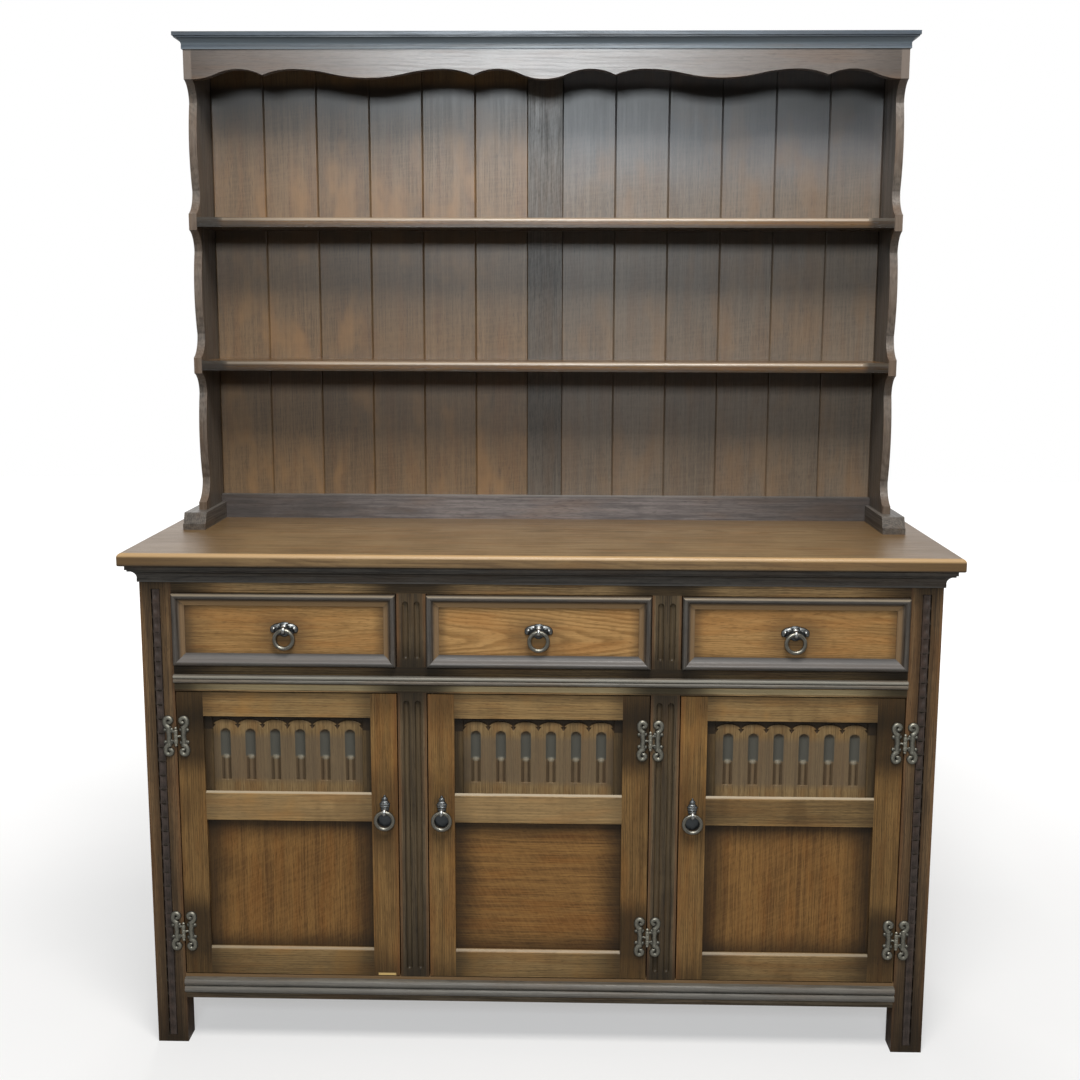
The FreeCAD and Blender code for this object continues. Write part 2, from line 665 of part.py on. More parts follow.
def hollow(lobe, recess):
    """A hollow curve from the corner of a lobe to a recess, upright where it meets the recess."""
    depth = recess.y - lobe.y
    rise = abs(recess.z - lobe.z)
    radius = (depth ** 2 + rise ** 2) / (2 * depth)
    angle = math.atan2(rise, radius - depth)
    up = 1 if lobe.z > recess.z else -1
    y = recess.y - radius + radius * math.cos(angle / 2)
    return Vector(lobe.x, y, recess.z + up * radius * math.sin(angle / 2))


def side_outline(x):
    """A rack side seen from its end, with lobes at the shelves and bowed hollows between them."""
    near = rack_front.value
    far = rack_back.value
    recess = near + s.side_recess.value
    bow = recess - s.side_bow.value
    half_lobe = s.side_lobe_height.value / 2
    shelf_middles = [top.value - s.shelf_thickness.value / 2 for top in shelf_tops.values()]
    ceilings = [side_top.value - s.frieze_height.value] + [z - half_lobe for z in shelf_middles]
    floors = [z + half_lobe for z in shelf_middles] + [foot_top.value + half_lobe]
    steps = [Vector(x, near, side_top.value)]
    for ceiling, floor in zip(ceilings, floors):
        upper = Vector(x, recess, ceiling - s.side_upper_hollow.value)
        lower = Vector(x, recess, floor + s.side_lower_hollow.value)
        crown = Vector(x, bow, (upper.z + lower.z) / 2)
        lobe_above = Vector(x, near, ceiling)
        lobe_below = Vector(x, near, floor)
        steps.append(lobe_above)
        steps.append((hollow(lobe_above, upper), upper))
        steps.append((crown, lower))
        steps.append((hollow(lobe_below, lower), lobe_below))
    steps.append(Vector(x, near, side_bottom.value))
    steps.append(Vector(x, far, side_bottom.value))
    return outline(Vector(x, far, side_top.value), *steps)


rack_sides = []
for side_name, side in SIDES.items():
    low = mirrored(side, rack_inner, rack_half)[0].value
    shape = side_outline(low).extrude(RIGHT * s.rack_side_thickness.value)
    blank = solid(f"rack_side_blank_{side_name}", shape)
    rack_sides.append(cut(f"rack_side_{side_name}", blank, *shelves))
for side_name, item in zip(SIDES, rack_sides):
    node(f"rack_side_{side_name}", item)


def profile_pad(name, plane, corners, length):
    """A body padded from a straight-sided sketch whose corners are bound to the sheet."""
    body = doc.addObject("PartDesign::Body", name)
    sketch = body.newObject("Sketcher::SketchObject", name + "_sketch")
    sketch.AttachmentSupport = [(next(o for o in body.Origin.OriginFeatures if o.Role == plane), "")]
    sketch.MapMode = "FlatFace"
    ends = corners[1:] + corners[:1]
    for (u, v), (next_u, next_v) in zip(corners, ends):
        start = Vector(u.value, v.value, 0)
        end = Vector(next_u.value, next_v.value, 0)
        sketch.addGeometry(Part.LineSegment(start, end))
    for number, (u, v) in enumerate(corners):
        sketch.addConstraint(Sketcher.Constraint("Coincident", number, 2, (number + 1) % len(corners), 1))
        for kind, at in (("DistanceX", u), ("DistanceY", v)):
            constraint = sketch.addConstraint(Sketcher.Constraint(kind, -1, 1, number, 1, at.value))
            sketch.setExpression(f"Constraints[{constraint}]", at.formula)
    pad = body.newObject("PartDesign::Pad", name + "_pad")
    pad.Profile = sketch
    pad.setExpression("Length", length.formula)
    return body


feet = []
foot_back = rack_back
foot_front = rack_back - s.rack_foot_length
plinth_top = s.base_height + s.rack_foot_plinth
foot_corners = [(foot_front, s.base_height), (foot_back, s.base_height), (foot_back, foot_top),
                (foot_front + s.rack_foot_slope, foot_top), (foot_front + s.rack_foot_slope / 3, plinth_top),
                (foot_front, plinth_top)]
for (side_name, side), rack_side in zip(SIDES.items(), rack_sides):
    body = profile_pad(f"rack_foot_body_{side_name}", "YZ_Plane", foot_corners, s.rack_foot_width)
    centre = ((rack_inner + rack_half) / 2 + s.rack_foot_offset) * side
    body.setExpression("Placement.Base.x", (centre - s.rack_foot_width / 2).formula)
    feet.append(cut(f"rack_foot_{side_name}", body, rack_side))
node("rack_feet", group("rack_feet", feet))

rail_blank = board("rack_rail_blank", (-rack_inner, rack_inner), (rack_rail_front, boards_front),
                   (s.base_height, s.base_height + s.rack_rail_height))
node("rack_bottom_rail", cut("rack_bottom_rail", rail_blank, back_muntin, *feet))

back_boards = []
board_width = (rack_inner - muntin_half) / count("back_board_count")
bevel = s.back_board_bevel
board_corners = [(nothing, rack_back), (nothing, boards_front + bevel), (bevel, boards_front),
                 (board_width - bevel, boards_front), (board_width, boards_front + bevel),
                 (board_width, rack_back)]
for side_name, start in (("left", -rack_inner), ("right", muntin_half)):
    for number in range(count("back_board_count")):
        body = profile_pad(f"back_board_{side_name}_{number + 1}", "XY_Plane", board_corners,
                           side_top - s.base_height)
        place(body, start + board_width * number, 0, s.base_height)
        back_boards.append(body)
outer_boards = [back_boards[0], back_boards[-1]]
notched = [cut(f"{item.Name}_notched", item, *feet) for item in outer_boards]
node("rack_back_boards", group("rack_back_boards", [notched[0]] + back_boards[1:-1] + [notched[1]]))


def ogee(start, end):
    """Two arcs that leave a low point level and reach a high point level, or the other way round."""
    inflection = (start + end) / 2
    across = end.x - start.x
    rise = end.z - start.z
    bow = math.atan2(abs(rise), abs(across))
    radius = (across ** 2 + rise ** 2) / (4 * abs(rise))
    sign = 1 if rise > 0 else -1
    way = 1 if across > 0 else -1
    sag = radius * (1 - math.cos(bow))
    first = Vector(start.x + way * radius * math.sin(bow), start.y, start.z + sign * sag)
    second = Vector(end.x - way * radius * math.sin(bow), end.y, end.z - sign * sag)
    return [(first, inflection), (second, end)]


def crown_arc(crown, tip):
    """One arc from a level crown down to a pointed tip, or from the tip up to the crown."""
    across = tip.x - crown.x
    drop = crown.z - tip.z
    radius = (across ** 2 + drop ** 2) / (2 * drop)
    angle = math.asin(across / radius) / 2
    return Vector(crown.x + radius * math.sin(angle), crown.y, crown.z - radius * (1 - math.cos(angle)))


# The shaped edge of the frieze, as shares of a quarter of its length
FRIEZE_FIRST_CROWN = 0.264
FRIEZE_POINT = 0.401
FRIEZE_SECOND_CROWN = 0.571


def frieze_outline(y):
    """The frieze seen from the front; each half repeats one shaped motif about its own middle."""
    low = side_top.value - s.frieze_height.value
    high = low + s.frieze_rise.value
    tip = high - s.frieze_cusp.value
    quarter = rack_inner.value / 2
    steps = []
    for way, origin in ((1, -rack_inner.value), (-1, 0), (1, 0), (-1, rack_inner.value)):
        start = Vector(origin, y, low)
        first = Vector(origin + way * quarter * FRIEZE_FIRST_CROWN, y, high)
        cusp = Vector(origin + way * quarter * FRIEZE_POINT, y, tip)
        second = Vector(origin + way * quarter * FRIEZE_SECOND_CROWN, y, high)
        trough = Vector(origin + way * quarter, y, low + s.frieze_trough.value)
        first_arc = crown_arc(first, cusp)
        second_arc = crown_arc(second, cusp)
        if way > 0:
            steps += [start] + ogee(start, first) + [(first_arc, cusp), (second_arc, second)]
            steps += ogee(second, trough)
        else:
            steps += ogee(trough, second) + [(second_arc, cusp), (first_arc, first)]
            steps += ogee(first, start)
    corner_right = Vector(rack_inner.value, y, side_top.value)
    corner_left = Vector(-rack_inner.value, y, side_top.value)
    return outline(corner_left, *steps, corner_right)


frieze_shape = frieze_outline(rack_front.value).extrude(BACK * s.frieze_thickness.value)
node("rack_frieze", solid("rack_frieze", frieze_shape))
node("rack_top_board", board("rack_top_board", (-rack_half, rack_half), (rack_front, rack_back),
                             (side_top, s.overall_height)))
cornice = coved_profile(s.cornice_height.value, s.cornice_projection.value)
node("rack_cornice", three_sided("rack_cornice", cornice, rack_half.value, rack_front.value, rack_back.value,
                                 s.overall_height.value - s.cornice_height.value))

# Pulls: a back plate with an eye, and a ring that hangs in the eye
eye_outer = s.eye_radius + s.eye_wall


def eye(name, x, y, z):
    """A short round eye along X on a back plate, before its hole is made."""
    return rod(name, eye_outer, s.eye_width, x - s.eye_width / 2, y - s.pull_stand_off, z, "x")


def bored(name, blank, x, y, z):
    """Make the hole of an eye."""
    bore = rod(name + "_bore", s.eye_radius, s.eye_width * 2, x - s.eye_width, y - s.pull_stand_off, z, "x")
    return cut(name, blank, bore)


def ring(name, radius, x, y, z):
    item = doc.addObject("Part::Torus", name)
    item.Placement.Rotation = FreeCAD.Rotation(RIGHT, 90)
    item.setExpression("Radius1", radius.formula)
    item.setExpression("Radius2", s.ring_tube_radius.formula)
    return place(item, x, y - s.pull_stand_off, z - radius)


def disc(name, radius, x, y, z):
    """A round of plate metal on the wood."""
    return rod(name, radius, s.pull_plate_thickness, x, y - s.pull_plate_thickness, z, "y")


DRAWER_BAR = 0.7  # half height of the cross bar, as a share of an ear


def drawer_pull_plate(name, x, y, z):
    """A winged plate: an upright tablet, a cross bar and two round ears."""
    plate_y = (y - s.pull_plate_thickness, y)
    ear_at = s.drawer_plate_width / 2 - s.drawer_plate_ear
    tablet_half = s.drawer_plate_width / 4
    bar_half = s.drawer_plate_ear * DRAWER_BAR
    parts = [board(name + "_tablet", (x - tablet_half, x + tablet_half), plate_y,
                   (z - bar_half, z + s.drawer_plate_rise)),
             board(name + "_bar", (x - ear_at, x + ear_at), plate_y, (z - bar_half, z + bar_half)),
             disc(name + "_drop", s.drawer_plate_drop, x, y, z),
             eye(name + "_eye", x, y, z)]
    for side_name, side in SIDES.items():
        parts.append(disc(f"{name}_ear_{side_name}", s.drawer_plate_ear, x + ear_at * side, y, z))
    return bored(name, fuse(name + "_blank", *parts), x, y, z)


# The finial of a door pull: heights as shares of its rise, radii as shares of its widest tier
FINIAL_STEM = 0.8
FINIAL_BULB_AT = 0.42
FINIAL_BULB = 0.75
FINIAL_TIP = 0.45


def door_pull_plate(name, x, y, z):
    """A round plate behind the ring with a stepped finial over it."""
    plate_y = (y - s.pull_plate_thickness, y)
    bulb_z = z + s.door_plate_rise * FINIAL_BULB_AT
    tip = s.door_plate_tier * FINIAL_TIP
    parts = [disc(name + "_round", s.door_plate_radius, x, y, z - s.door_ring_radius),
             disc(name + "_tier", s.door_plate_tier, x, y, z),
             board(name + "_stem", (x - s.door_plate_tier / 2, x + s.door_plate_tier / 2), plate_y,
                   (z - s.door_ring_radius, z + s.door_plate_rise * FINIAL_STEM)),
             disc(name + "_bulb", s.door_plate_tier * FINIAL_BULB, x, y, bulb_z),
             disc(name + "_tip", tip, x, y, z + s.door_plate_rise - tip),
             eye(name + "_eye", x, y, z)]
    return bored(name, fuse(name + "_blank", *parts), x, y, z)


# Drawers
face_back = front + s.drawer_front_thickness
box_end = back_rail_front - s.drawer_back_gap


def drawer_side_outline(x, low):
    """A drawer side seen from its end, with dovetails at the front."""
    high = low + s.drawer_side_height.value
    shoulder = face_back.value
    tip = shoulder - s.dovetail_length.value
    tails = count("dovetail_count")
    pitch = s.drawer_side_height.value / tails
    flare = s.dovetail_flare.value
    steps = [Vector(x, box_end.value, low), Vector(x, box_end.value, high), Vector(x, shoulder, high)]
    for number in reversed(range(tails)):
        bottom = low + number * pitch + pitch / 4
        top = low + (number + 1) * pitch - pitch / 4
        steps += [Vector(x, shoulder, top), Vector(x, tip, top + flare), Vector(x, tip, bottom - flare),
                  Vector(x, shoulder, bottom)]
    return outline(Vector(x, shoulder, low), *steps)


# The frame moulding of a drawer front, as shares of its width and of its height
FRAME_RIDGE = 0.28
FRAME_RIDGE_END = 0.448
FRAME_BEND = 0.58
FRAME_FLAT = 0.86
FRAME_OUTER_HEIGHT = 0.72
FRAME_RIDGE_END_HEIGHT = 0.78
FRAME_BEND_HEIGHT = 0.46


def drawer_moulding_profile():
    """Across the frame moulding: y in from the drawer edge, z out from the drawer face."""
    width = s.drawer_moulding_width.value
    height = s.drawer_moulding_height.value
    lip = s.drawer_moulding_lip.value
    hollow_bend = point(FRAME_BEND * width, FRAME_BEND_HEIGHT * height)
    ridge_end = point(FRAME_RIDGE_END * width, FRAME_RIDGE_END_HEIGHT * height)
    ridge = point(FRAME_RIDGE * width, height)
    return outline(point(0, 0), point(width, 0), point(width, lip), point(FRAME_FLAT * width, lip),
                   (hollow_bend, ridge_end), (ridge, point(0, FRAME_OUTER_HEIGHT * height)))


moulding_profile = drawer_moulding_profile()
drawer_z = (drawer_floor + s.drawer_gap, drawer_top - s.drawer_gap)
for bay_name, bay in BAYS.items():
    label = f"drawer_{bay_name}"
    centre = bay_pitch * bay
    x = (centre - bay_width / 2 + s.drawer_gap, centre + bay_width / 2 - s.drawer_gap)
    side_low = drawer_floor + s.running_gap
    side_high = side_low + s.drawer_side_height
    inner_x = (x[0] + s.drawer_side_thickness, x[1] - s.drawer_side_thickness)
    bottom_z = (side_low + s.drawer_bottom_rise, side_low + s.drawer_bottom_rise + s.drawer_bottom_thickness)
    bottom_x = (inner_x[0] - s.drawer_bottom_groove, inner_x[1] + s.drawer_bottom_groove)
    bottom = board(f"{label}_bottom", bottom_x, (face_back - s.drawer_bottom_groove, box_end), bottom_z)
    side_blanks = []
    for side_name, at in (("left", x[0]), ("right", inner_x[1])):
        shape = drawer_side_outline(at.value, side_low.value).extrude(RIGHT * s.drawer_side_thickness.value)
        side_blanks.append(solid(f"{label}_side_blank_{side_name}", shape))
    box_sides = [cut(f"{label}_side_{number}", blank, bottom) for number, blank in enumerate(side_blanks)]
    box_back = board(f"{label}_box_back", inner_x, (box_end - s.drawer_side_thickness, box_end),
                     (bottom_z[1], side_high))
    front_blank = board(f"{label}_front_blank", x, (front, face_back), drawer_z)
    node(f"{label}_front", cut(f"{label}_front", front_blank, bottom, *side_blanks))
    node(f"{label}_box", group(f"{label}_box", box_sides + [box_back, bottom]))

    width = x[1].value - x[0].value
    height = drawer_z[1].value - drawer_z[0].value
    low_left = Vector(x[0].value, front.value, drawer_z[0].value)
    runs = [(low_left, RIGHT, UP, width),
            (low_left + RIGHT * width, UP, LEFT, height),
            (low_left + RIGHT * width + UP * height, LEFT, DOWN, width),
            (low_left + UP * height, DOWN, RIGHT, height)]
    pieces = []
    for number, (origin, along, inward, length) in enumerate(runs):
        shape = turned(strip(moulding_profile, length, 1, -1), origin, along, inward)
        pieces.append(solid(f"{label}_moulding_{number}", shape))
    node(f"{label}_moulding", group(f"{label}_moulding", pieces))

    eye_z = drawer_z[0] + s.drawer_pull_height
    node(f"{label}_pull_plate", drawer_pull_plate(f"{label}_pull_plate", centre, front, eye_z))
    node(f"{label}_pull_ring", ring(f"{label}_pull_ring", s.drawer_ring_radius, centre, front, eye_z))


# Carved panel of a door: an arcade of fluted arches, each hollow half filled with a reed.
# The bend of a chip cut, as shares of its half width and of its height
CHIP_BEND_OUT = 0.32
CHIP_BEND_UP = 0.42


def dowel(radius, x, y, low, high):
    """A turned bar with a round upper end."""
    foot = Vector(x, y, low)
    tip = Vector(x, y, high + radius)
    slant = radius * math.sin(math.pi / 4)
    bend = Vector(x + slant, y, high + slant)
    half = outline(foot, Vector(x + radius, y, low), Vector(x + radius, y, high), (bend, tip))
    return half.revolve(foot, UP, 360)


def carved_panel(width, height):
    """The visible carved face spans 0 to width in X and -height to 0 in Z, at Y 0; its edges are added."""
    margin = s.groove_depth.value - s.panel_play.value
    thickness = s.carved_panel_thickness.value
    corner = Vector(-margin, 0, -height - margin)
    panel = Part.makeBox(width + 2 * margin, thickness, height + 2 * margin, corner)
    arches = count("arch_count")
    arcade = s.arcade_margin.value
    pitch = (width - 2 * arcade) / arches
    half_flute = s.arch_flute_width.value / 2
    depth = s.arch_flute_depth.value
    radius = (half_flute ** 2 + depth ** 2) / (2 * depth)
    axis_y = depth - radius
    flute_top = -s.arch_flute_top.value - half_flute
    flute_low = -s.arch_flute_top.value - s.arch_flute_length.value
    reed = s.arch_reed_radius.value
    reed_y = s.arch_reed_sink.value + reed
    chip_top = -s.arch_crown.value
    chip_tip = chip_top - s.arch_chip_height.value
    chip_half = s.arch_chip_width.value / 2
    line_half = s.arch_line_width.value / 2
    joints = [arcade + number * pitch for number in range(arches + 1)]
    middles = [x + pitch / 2 for x in joints[:-1]]
    hollows = [dowel(radius, x, axis_y, flute_low, flute_top) for x in middles]
    fillings = [dowel(reed, x, reed_y, flute_low, flute_low + s.arch_reed_length.value) for x in middles]
    chips = []
    lines = []
    line_top = (chip_top + chip_tip) / 2
    for x in joints:
        tip = Vector(x, 0, chip_tip)
        bend_z = chip_tip + CHIP_BEND_UP * s.arch_chip_height.value
        left_bend = Vector(x - CHIP_BEND_OUT * chip_half, 0, bend_z)
        right_bend = Vector(x + CHIP_BEND_OUT * chip_half, 0, bend_z)
        chip = outline(Vector(x - chip_half, 0, chip_top), (left_bend, tip),
                       (right_bend, Vector(x + chip_half, 0, chip_top)))
        chips.append(chip.extrude(BACK * s.arch_chip_depth.value))
    for x in joints[1:-1]:
        line = outline(Vector(x - line_half, 0, line_top), Vector(x + line_half, 0, line_top),
                       Vector(x, s.arch_line_depth.value, line_top))
        lines.append(line.extrude(UP * (flute_low - line_top)))
    ground = [Part.makeBox(arcade + margin, s.arcade_ground.value, height + margin + chip_top,
                           Vector(x, 0, -height - margin)) for x in (-margin, width - arcade)]
    fluted = panel.cut(hollows).fuse(fillings).removeSplitter()
    return fluted.cut(ground).cut(chips).cut(lines)


# Doors
hinge_axis_y = front - s.hinge_knuckle_radius - s.hinge_stand_off
door_z = (door_floor + s.door_gap, door_top - s.door_gap)
carved_high = door_z[1] - s.door_top_rail_height
carved_low = carved_high - s.carved_panel_height
plain_high = carved_low - s.door_mid_rail_height
plain_low = door_z[0] + s.door_bottom_rail_height
HINGE_SIDE = {"left": -1, "middle": 1, "right": 1}
sight_width = bay_width - s.door_gap * 2 - s.door_stile_width * 2
carved_shape = carved_panel(sight_width.value, s.carved_panel_height.value)


# A hinge leaf: its waist as a share of half its height, the rest as shares of its lobe radius
LEAF_WAIST = 0.34
LEAF_SPINE = 0.62
LEAF_WING = 0.4
LEAF_HOLE = 0.42
LEAF_HOLE_SHIFT = 0.2
LEAF_WAIST_ROUND = 0.55


def hinge_leaf(way, spans):
    """A leaf to the right (way 1) or left (way -1) of the pin, with knuckles over the given spans.
    The pin is the local Z axis and the wood lies behind, at positive Y."""
    radius = s.hinge_knuckle_radius.value
    wood = radius + s.hinge_stand_off.value
    thickness = s.hinge_leaf_thickness.value
    plate_y = wood - thickness
    half = s.hinge_height.value / 2
    outer = s.hinge_leaf_width.value
    inner = radius + s.hinge_leaf_gap.value
    lobe = (outer - inner) / 2
    lobe_x = (outer + inner) / 2
    waist = LEAF_WAIST * half
    waist_round = LEAF_WAIST_ROUND * lobe

    def plate(x0, x1, z0, z1):
        return Part.makeBox(x1 - x0, thickness, z1 - z0, Vector(x0, plate_y, z0))

    def round_plate(size, x, z):
        return Part.makeCylinder(size, thickness, Vector(x, plate_y, z), BACK)

    spine = plate(inner, inner + LEAF_SPINE * lobe, -half + lobe, half - lobe)
    parts = [plate(inner, outer - LEAF_WING * lobe, -waist, waist)]
    holes = []
    for end in (-1, 1):
        centre = end * (half - lobe)
        parts.append(round_plate(lobe, lobe_x, centre))
        holes.append(round_plate(LEAF_HOLE * lobe, lobe_x + LEAF_HOLE_SHIFT * lobe, centre))
        parts.append(round_plate(waist_round, outer - waist_round, end * waist))
    leaf = spine.fuse(parts).cut(holes)
    knuckles = []
    for low, high in spans:
        foot = Vector(0, 0, low)
        knuckles.append(Part.makeCylinder(radius, high - low, foot))
        knuckles.append(Part.makeBox(inner + thickness, wood, high - low, foot))
    bore_radius = s.hinge_pin_radius.value + s.hinge_pin_clearance.value
    bore = Part.makeCylinder(bore_radius, 2 * half, Vector(0, 0, -half))
    leaf = leaf.fuse(knuckles).cut(bore).removeSplitter()
    return leaf if way > 0 else leaf.mirror(Vector(0, 0, 0), RIGHT)


knuckle_half = s.hinge_knuckle_length.value / 2
split = s.hinge_knuckle_length.value / 6
gap = s.hinge_knuckle_gap.value / 2
door_spans = [(-split + gap, split - gap)]
carcase_spans = [(-knuckle_half, -split - gap), (split + gap, knuckle_half)]
carcase_leaves = []
hinge_pins = []
for bay_name, bay in BAYS.items():
    label = f"door_{bay_name}"
    centre = bay_pitch * bay
    hinge_side = HINGE_SIDE[bay_name]
    x = (centre - bay_width / 2 + s.door_gap, centre + bay_width / 2 - s.door_gap)
    sight_x = (x[0] + s.door_stile_width, x[1] - s.door_stile_width)
    y = (front, front + s.door_thickness)
    carved_y = front + s.carved_panel_setback
    plain_y = front + s.plain_panel_setback
    panel_x = (sight_x[0] - s.groove_depth, sight_x[1] + s.groove_depth)
    carved = place(solid(f"{label}_carved_panel", carved_shape), sight_x[0], carved_y, carved_high)
    carved_blank = board(f"{label}_carved_groove", panel_x, (carved_y, carved_y + s.carved_panel_thickness),
                         (carved_low - s.groove_depth, carved_high + s.groove_depth))
    plain = board(f"{label}_plain_panel", panel_x, (plain_y, plain_y + s.plain_panel_thickness),
                  (plain_low - s.groove_depth, plain_high + s.groove_depth))
    rails = []
    for rail_name, z in (("top", (carved_high, door_z[1])), ("mid", (plain_high, carved_low)),
                         ("bottom", (door_z[0], plain_low))):
        blank = tenoned(f"{label}_{rail_name}_rail_blank", sight_x, y, z, "x", s.door_tenon_length)
        if rail_name != "top":
            edges = edges_at(blank, y=front, z=z[1])
            blank = rounded(f"{label}_{rail_name}_rail_sill", blank, [(edges, s.sill_chamfer)],
                            "Part::Chamfer")
        rails.append(cut(f"{label}_{rail_name}_rail", blank, carved_blank, plain))
    stiles = []
    for side_name, limits in (("left", (x[0], sight_x[0])), ("right", (sight_x[1], x[1]))):
        blank = board(f"{label}_stile_blank_{side_name}", limits, y, door_z)
        stiles.append(cut(f"{label}_stile_{side_name}", blank, carved_blank, plain, *rails))
    node(f"{label}_frame", group(f"{label}_frame", stiles + rails))
    node(f"{label}_carved_panel", carved)
    node(f"{label}_plain_panel", plain)

    axis_x = centre + bay_width / 2 * hinge_side
    leaves = []
    for end_name, hinge_z in (("upper", door_z[1] - s.hinge_inset), ("lower", door_z[0] + s.hinge_inset)):
        door_leaf = solid(f"{label}_leaf_{end_name}", hinge_leaf(-hinge_side, door_spans))
        carcase_leaf = solid(f"carcase_leaf_{bay_name}_{end_name}", hinge_leaf(hinge_side, carcase_spans))
        leaves.append(place(door_leaf, axis_x, hinge_axis_y, hinge_z))
        carcase_leaves.append(place(carcase_leaf, axis_x, hinge_axis_y, hinge_z))
        tip_at = s.hinge_knuckle_length / 2 + s.hinge_tip_radius
        pin = rod(f"pin_{bay_name}_{end_name}", s.hinge_pin_radius, tip_at * 2,
                  axis_x, hinge_axis_y, hinge_z - tip_at)
        tips = [ball(f"pin_tip_{bay_name}_{end_name}", s.hinge_tip_radius, axis_x, hinge_axis_y, at)
                for at in (hinge_z - tip_at, hinge_z + tip_at)]
        hinge_pins.append(fuse(f"hinge_pin_{bay_name}_{end_name}", pin, *tips))
    node(f"{label}_hinge_leaves", group(f"{label}_hinge_leaves", leaves))

    pull_x = (x[0] + s.door_stile_width / 2) if hinge_side > 0 else (x[1] - s.door_stile_width / 2)
    eye_z = door_z[1] - s.door_pull_drop
    node(f"{label}_pull_plate", door_pull_plate(f"{label}_pull_plate", pull_x, front, eye_z))
    node(f"{label}_pull_ring", ring(f"{label}_pull_ring", s.door_ring_radius, pull_x, front, eye_z))
node("carcase_hinge_leaves", group("carcase_hinge_leaves", carcase_leaves))
node("hinge_pins", group("hinge_pins", hinge_pins))

# Door catches on the backs of the muntins; each also stops its door
catches = []
for bay_name, bay in BAYS.items():
    centre = bay_pitch * bay
    free_side = -HINGE_SIDE[bay_name]
    edge = centre + bay_width / 2 * free_side
    reach = edge - s.catch_reach * free_side
    ends = (reach, reach + s.catch_width * free_side)
    x = ends if free_side > 0 else (ends[1], ends[0])
    z = (door_z[1] - s.catch_drop - s.catch_height, door_z[1] - s.catch_drop)
    block = board(f"catch_block_{bay_name}", x, (rail_back, rail_back + s.catch_depth), z)
    nib_start = front + s.door_thickness + s.running_gap
    nib_x = reach + s.catch_reach / 2 * free_side
    nib = rod(f"catch_nib_{bay_name}", s.catch_nib_radius, rail_back - nib_start,
              nib_x, nib_start, (z[0] + z[1]) / 2, "y")
    catches.append(fuse(f"door_catch_{bay_name}", block, nib))
node("door_catches", group("door_catches", catches))

# Check every object, then write one file for each sub-part
doc.recompute()
faults = [item.Name for item in doc.Objects if "Invalid" in item.State or "Error" in item.State]
faults += [item.Label for item in nodes if item.Shape.isNull() or not item.Shape.isValid()]
if faults:
    raise RuntimeError("broken objects: " + ", ".join(faults))
os.makedirs("parts", exist_ok=True)
for item in nodes:
    item.Shape.exportStep(f"parts/{item.Label}.step")
print(len(nodes), "sub-parts written")
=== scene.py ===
import math

import bpy
from mathutils import Matrix, Vector, noise


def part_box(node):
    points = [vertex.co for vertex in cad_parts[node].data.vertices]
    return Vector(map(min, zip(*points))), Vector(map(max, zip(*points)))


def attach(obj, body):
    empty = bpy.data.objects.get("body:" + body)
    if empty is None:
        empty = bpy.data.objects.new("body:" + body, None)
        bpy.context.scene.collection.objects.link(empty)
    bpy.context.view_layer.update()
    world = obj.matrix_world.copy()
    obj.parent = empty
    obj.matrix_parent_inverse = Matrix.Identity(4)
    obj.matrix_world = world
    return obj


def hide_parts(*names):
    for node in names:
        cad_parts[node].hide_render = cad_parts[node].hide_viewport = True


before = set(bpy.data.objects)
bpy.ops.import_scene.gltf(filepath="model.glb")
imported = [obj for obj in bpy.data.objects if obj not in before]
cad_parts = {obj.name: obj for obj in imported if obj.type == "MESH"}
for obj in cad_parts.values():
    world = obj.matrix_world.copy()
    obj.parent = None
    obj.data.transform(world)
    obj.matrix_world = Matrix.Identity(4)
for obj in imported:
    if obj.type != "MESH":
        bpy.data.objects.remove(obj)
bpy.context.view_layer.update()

bpy.context.scene.view_settings.view_transform = "Standard"

# Front stiles: two oak posts that run down to the floor as the front feet. A channel is gouged down
# the face of each one, stop by stop. They are stained, sprayed nearly black at the ends, lacquered,
# and rubbed back to red brown along the edges, and shade is painted into the channel, darker with depth.
SIDES = ("left", "right")
AXES = "XYZ"
QUARTER_TURN = math.radians(90)
# Near black: the sprayed dark stain, and also the colour of painted shade and shadows.
DARK_STAIN_AND_SHADE = (0.012, 0.009, 0.006)
RUBBED_RED = (0.150, 0.060, 0.020)
RUDDY_SHARES = (0.80, 0.58, 0.40)
PALE_SHARE = 1.3
DEEP_SHARE = 0.35
NOISE_SHIFT = (0.173, 0.291, 0.117)
DRIFT_FROM = 0.008
DRIFT_SHARE = 0.6
LOG_LENGTH = 1000.0
SWAY_SIZE = (0.22, 0.045)
STREAK_SIZE = (0.40, 0.006)
FIBRE_SIZE = (0.09, 0.0022)
PORE_SIZE = (0.014, 0.0008)
STAIN_SIZE = (0.16, 0.022)
BLOTCH_SIZE = (0.10, 0.10, 0.10)
STREAK_SHARE = 0.36
FIBRE_SHARE = 0.44
BLOTCH_SHARE = 0.20
MIDDLING = (0.30, 0.70)
TONE_SPAN = (0.10, 0.90)
PORE_SPAN = (0.56, 0.66, 0.0, 0.42)
STAIN_SPAN = (0.46, 0.66, 0.0, 0.35)
FLECK_SPAN = (0.42, 0.60)
FLECK_LEAN = -0.50
FIBRE_RISE = 0.4
SUMMER_RISE = (0.0, 0.6)
SUMMER_FALL = (1.0, 0.80)
NOISE_ROUGH = 0.55
GRAIN_HEIGHT = 0.0003
STILE_TONES = ((0.044, 0.028, 0.017), (0.165, 0.102, 0.050))
STILE_FOOT_FADE = (0.480, 0.120)
CHANNEL_TONES = ((0.028, 0.020, 0.016), (0.060, 0.043, 0.036))
CHANNEL_SPAN = (0.012, 0.800)
CHANNEL_HALF = 0.0075
CHANNEL_DEPTH = 0.0049
CHANNEL_LAND = 0.0012
CHANNEL_BACK = 0.0056
CHANNEL_LIP = 0.0012
SCOOP_PITCH = 0.024
SCOOP_HALF = 0.0058
SCOOP_DEPTH = 0.0018
